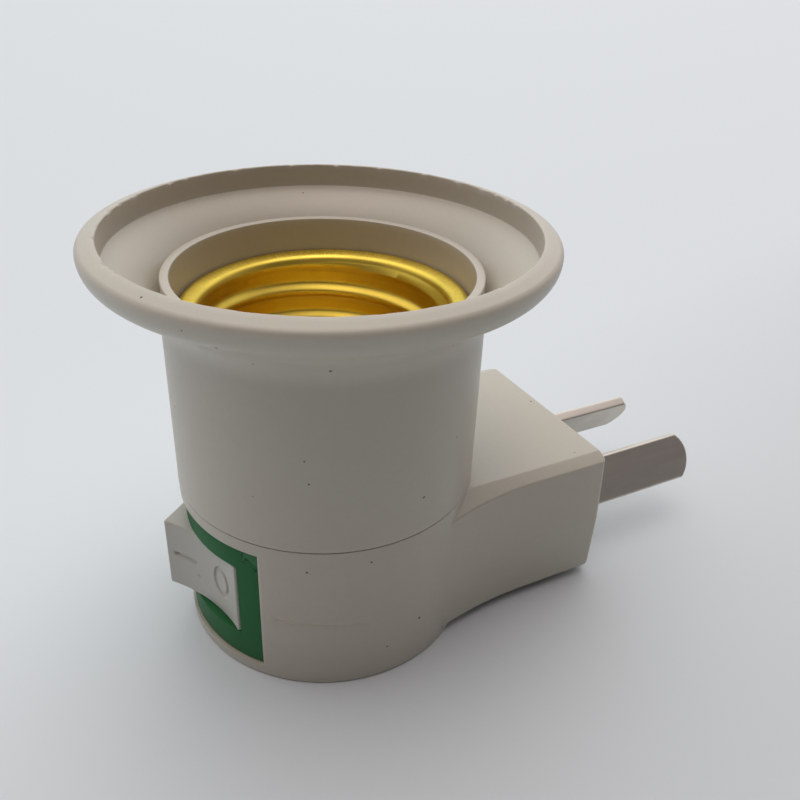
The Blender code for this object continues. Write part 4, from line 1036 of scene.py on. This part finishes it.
def stage_floor():
    """White table top with painted shade: its colour darkens towards the camera, where less light falls, and
    lightens further back.
    """
    made = bpy.data.materials.new("table_top")
    made.use_nodes = True
    tree = made.node_tree
    shader = tree.nodes["Principled BSDF"]
    place = own_place(tree)
    # Painted shade: the colour runs from the darker near tone to the lighter far tone with distance from the
    # camera
    away = vectors(tree, "DOT_PRODUCT", place, (-0.391, 1.359, 0), "Value")
    share = spread(tree, away, -0.075, 0.035)
    tree.links.new(mixed(tree, share, TABLE_SHADED_NEAR, TABLE_LIT_FAR), shader.inputs["Base Color"])
    shader.inputs["Roughness"].default_value = 0.6
    mesh = bpy.data.meshes.new("table")
    reach = 4.0
    corners = [(-reach, -reach, 0), (reach, -reach, 0), (reach, reach, 0), (-reach, reach, 0)]
    mesh.from_pydata(corners, [], [(0, 1, 2, 3)])
    mesh.materials.append(made)
    table = bpy.data.objects.new("table", mesh)
    bpy.context.scene.collection.objects.link(table)


def surroundings():
    """Room light as a sum of soft patches: each is its colour times max(0, cosine of the angle to its
    middle) ^ power. They lie overhead, behind the object and to its left, and the camera's side stays dim."""
    world = bpy.data.worlds.new("pale_room")
    bpy.context.scene.world = world
    world.use_nodes = True
    tree = world.node_tree
    sky = tree.nodes["Background"]
    ray = put(tree, "ShaderNodeTexCoord").outputs["Generated"]
    total = None
    for toward, power, colour in ROOM_LIGHT:
        near = vectors(tree, "DOT_PRODUCT", ray, toward, "Value")
        level = maths(tree, "POWER", maths(tree, "MAXIMUM", near, 0.0), power)
        patch = vectors(tree, "SCALE", colour, level)
        total = patch if total is None else vectors(tree, "ADD", total, patch)
    path = put(tree, "ShaderNodeLightPath")
    shown = mixed(tree, path.outputs["Is Camera Ray"], total, BACKDROP)
    tree.links.new(shown, sky.inputs["Color"])
    sky.inputs["Strength"].default_value = 1.0


def camera():
    """The photograph's view: a target beside the axis, looked at from an azimuth, elevation and distance,
    with a little roll."""
    level = np.array([math.sin(VIEW_AZIMUTH), -math.cos(VIEW_AZIMUTH), 0.0]) * math.cos(VIEW_ELEVATION)
    back = level + (0, 0, math.sin(VIEW_ELEVATION))
    right = np.array([math.cos(VIEW_AZIMUTH), math.sin(VIEW_AZIMUTH), 0.0])
    up = np.cross(back, right)
    beside, height = VIEW_TARGET
    place = right * beside + (0, 0, height) + back * VIEW_DISTANCE
    across = right * math.cos(VIEW_ROLL) + up * math.sin(VIEW_ROLL)
    upward = up * math.cos(VIEW_ROLL) - right * math.sin(VIEW_ROLL)
    data = bpy.data.cameras.new("photo_view")
    data.sensor_width = SENSOR
    data.lens = FOCAL_PIXELS * SENSOR / PHOTO_PIXELS
    data.clip_start = 0.005
    data.clip_end = 50.0
    obj = bpy.data.objects.new("photo_view", data)
    pose = np.eye(4)
    pose[:3, 0], pose[:3, 1], pose[:3, 2], pose[:3, 3] = across, upward, back, place * MM
    obj.matrix_world = Matrix(pose.tolist())
    bpy.context.scene.collection.objects.link(obj)
    bpy.context.scene.camera = obj


def use(obj, body, slot_name, *nodes):
    """The piece rides on a body and stands for its CAD nodes, which it hides. The slot's name is not used."""
    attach(obj, body)
    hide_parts(*nodes)


def paint(nodes, names, finish):
    """Gives CAD nodes that stay a finish of their own."""
    for name in names:
        slots = nodes[name].material_slots
        slots[0].link = "OBJECT"
        slots[0].material = finish


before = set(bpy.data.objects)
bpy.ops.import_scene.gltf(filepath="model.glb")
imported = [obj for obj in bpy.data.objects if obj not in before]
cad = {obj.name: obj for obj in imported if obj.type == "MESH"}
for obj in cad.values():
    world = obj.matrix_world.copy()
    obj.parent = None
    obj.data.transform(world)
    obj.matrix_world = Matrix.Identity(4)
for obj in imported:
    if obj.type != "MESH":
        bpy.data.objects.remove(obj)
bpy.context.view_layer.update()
MOULDING = moulding_group()
BRUSHING = brushing_group()

ivory = plastic("ivory_moulding", (0.515, 0.482, 0.408), 0.07, 1.0, 0.36, shine=0.7)
rocker_ivory = plastic("rocker_moulding", (0.51, 0.505, 0.455), 0.05, 0.3, 0.36)
green = plastic("green_moulding", (0.021, 0.142, 0.046), 0.15, 0.0, 0.5, shine=0.15)
pale_board = plastic("carrier_board", (0.52, 0.49, 0.42), 0.12, 0.6, 0.6)
black_nylon = plastic("holder_nylon", (0.03, 0.03, 0.03), 0.1, 0.0, 0.5)
brown_sleeve = plastic("brown_sleeve", (0.12, 0.045, 0.02), 0.1, 0.0, 0.42)
blue_sleeve = plastic("blue_sleeve", (0.03, 0.09, 0.34), 0.1, 0.0, 0.42)
brass = metal("bright_brass", (0.88, 0.66, 0.105), (180.0, 180.0, 2600.0), 0.30, 0.14)
nickel = metal("nickel_blade", (0.66, 0.61, 0.55), (90.0, 2400.0, 2400.0), 0.40, 0.12)
bronze = metal("spring_bronze", (0.76, 0.45, 0.25), (120.0, 2400.0, 900.0), 0.24, 0.2)
silver = metal("silver_face", (0.82, 0.81, 0.79), (900.0, 900.0, 900.0), 0.2, 0.1)
zinc = metal("zinc_plate", (0.60, 0.60, 0.59), (900.0, 900.0, 900.0), 0.24, 0.25)

use(upper_shell(ivory), HOUSING, "ivory_plastic", "upper_shell")
use(lower_housing(ivory), HOUSING, "ivory_plastic", "lower_housing")
use(switch_frame(torn_corner(green)), HOUSING, "green_plastic", "switch_frame")
use(rocker(rocker_ivory), ROCKER, "rocker_ivory", "rocker")
use(screw_shell(knurl_lip(brass)), HOUSING, "gilt_brass", "screw_shell")
use(blade("near_plug_blade", -1, nickel), HOUSING, "blade_metal", "near_blade")
use(blade("far_plug_blade", 1, nickel), HOUSING, "blade_metal", "far_blade")
use(centre_contact(bronze), HOUSING, "contact_copper", "centre_contact")
use(rivet("tongue_rivet", CENTRE_RIVET, 19.05, brass), HOUSING, "gilt_brass", "centre_rivet")
use(rivet("flange_rivet", FLANGE_RIVET, 19.1, brass), HOUSING, "gilt_brass", "shell_rivet")
use(carrier_screw("near_screw", -1, zinc), HOUSING, "plated_steel", "near_carrier_screw")
use(carrier_screw("far_screw", 1, zinc), HOUSING, "plated_steel", "far_carrier_screw")

paint(cad, ["contact_carrier"], pale_board)
paint(cad, ["blade_holder"], black_nylon)
paint(cad, ["live_wire", "switched_wire"], brown_sleeve)
paint(cad, ["neutral_wire"], blue_sleeve)
paint(cad, ["common_terminal", "load_terminal"], brass)
paint(cad, ["contact_lever"], bronze)
paint(cad, ["lever_contact", "fixed_contact"], silver)
paint(cad, ["switch_plunger", "plunger_spring"], zinc)

stage_floor()
surroundings()
camera()
bpy.context.scene.view_settings.view_transform = "Standard"
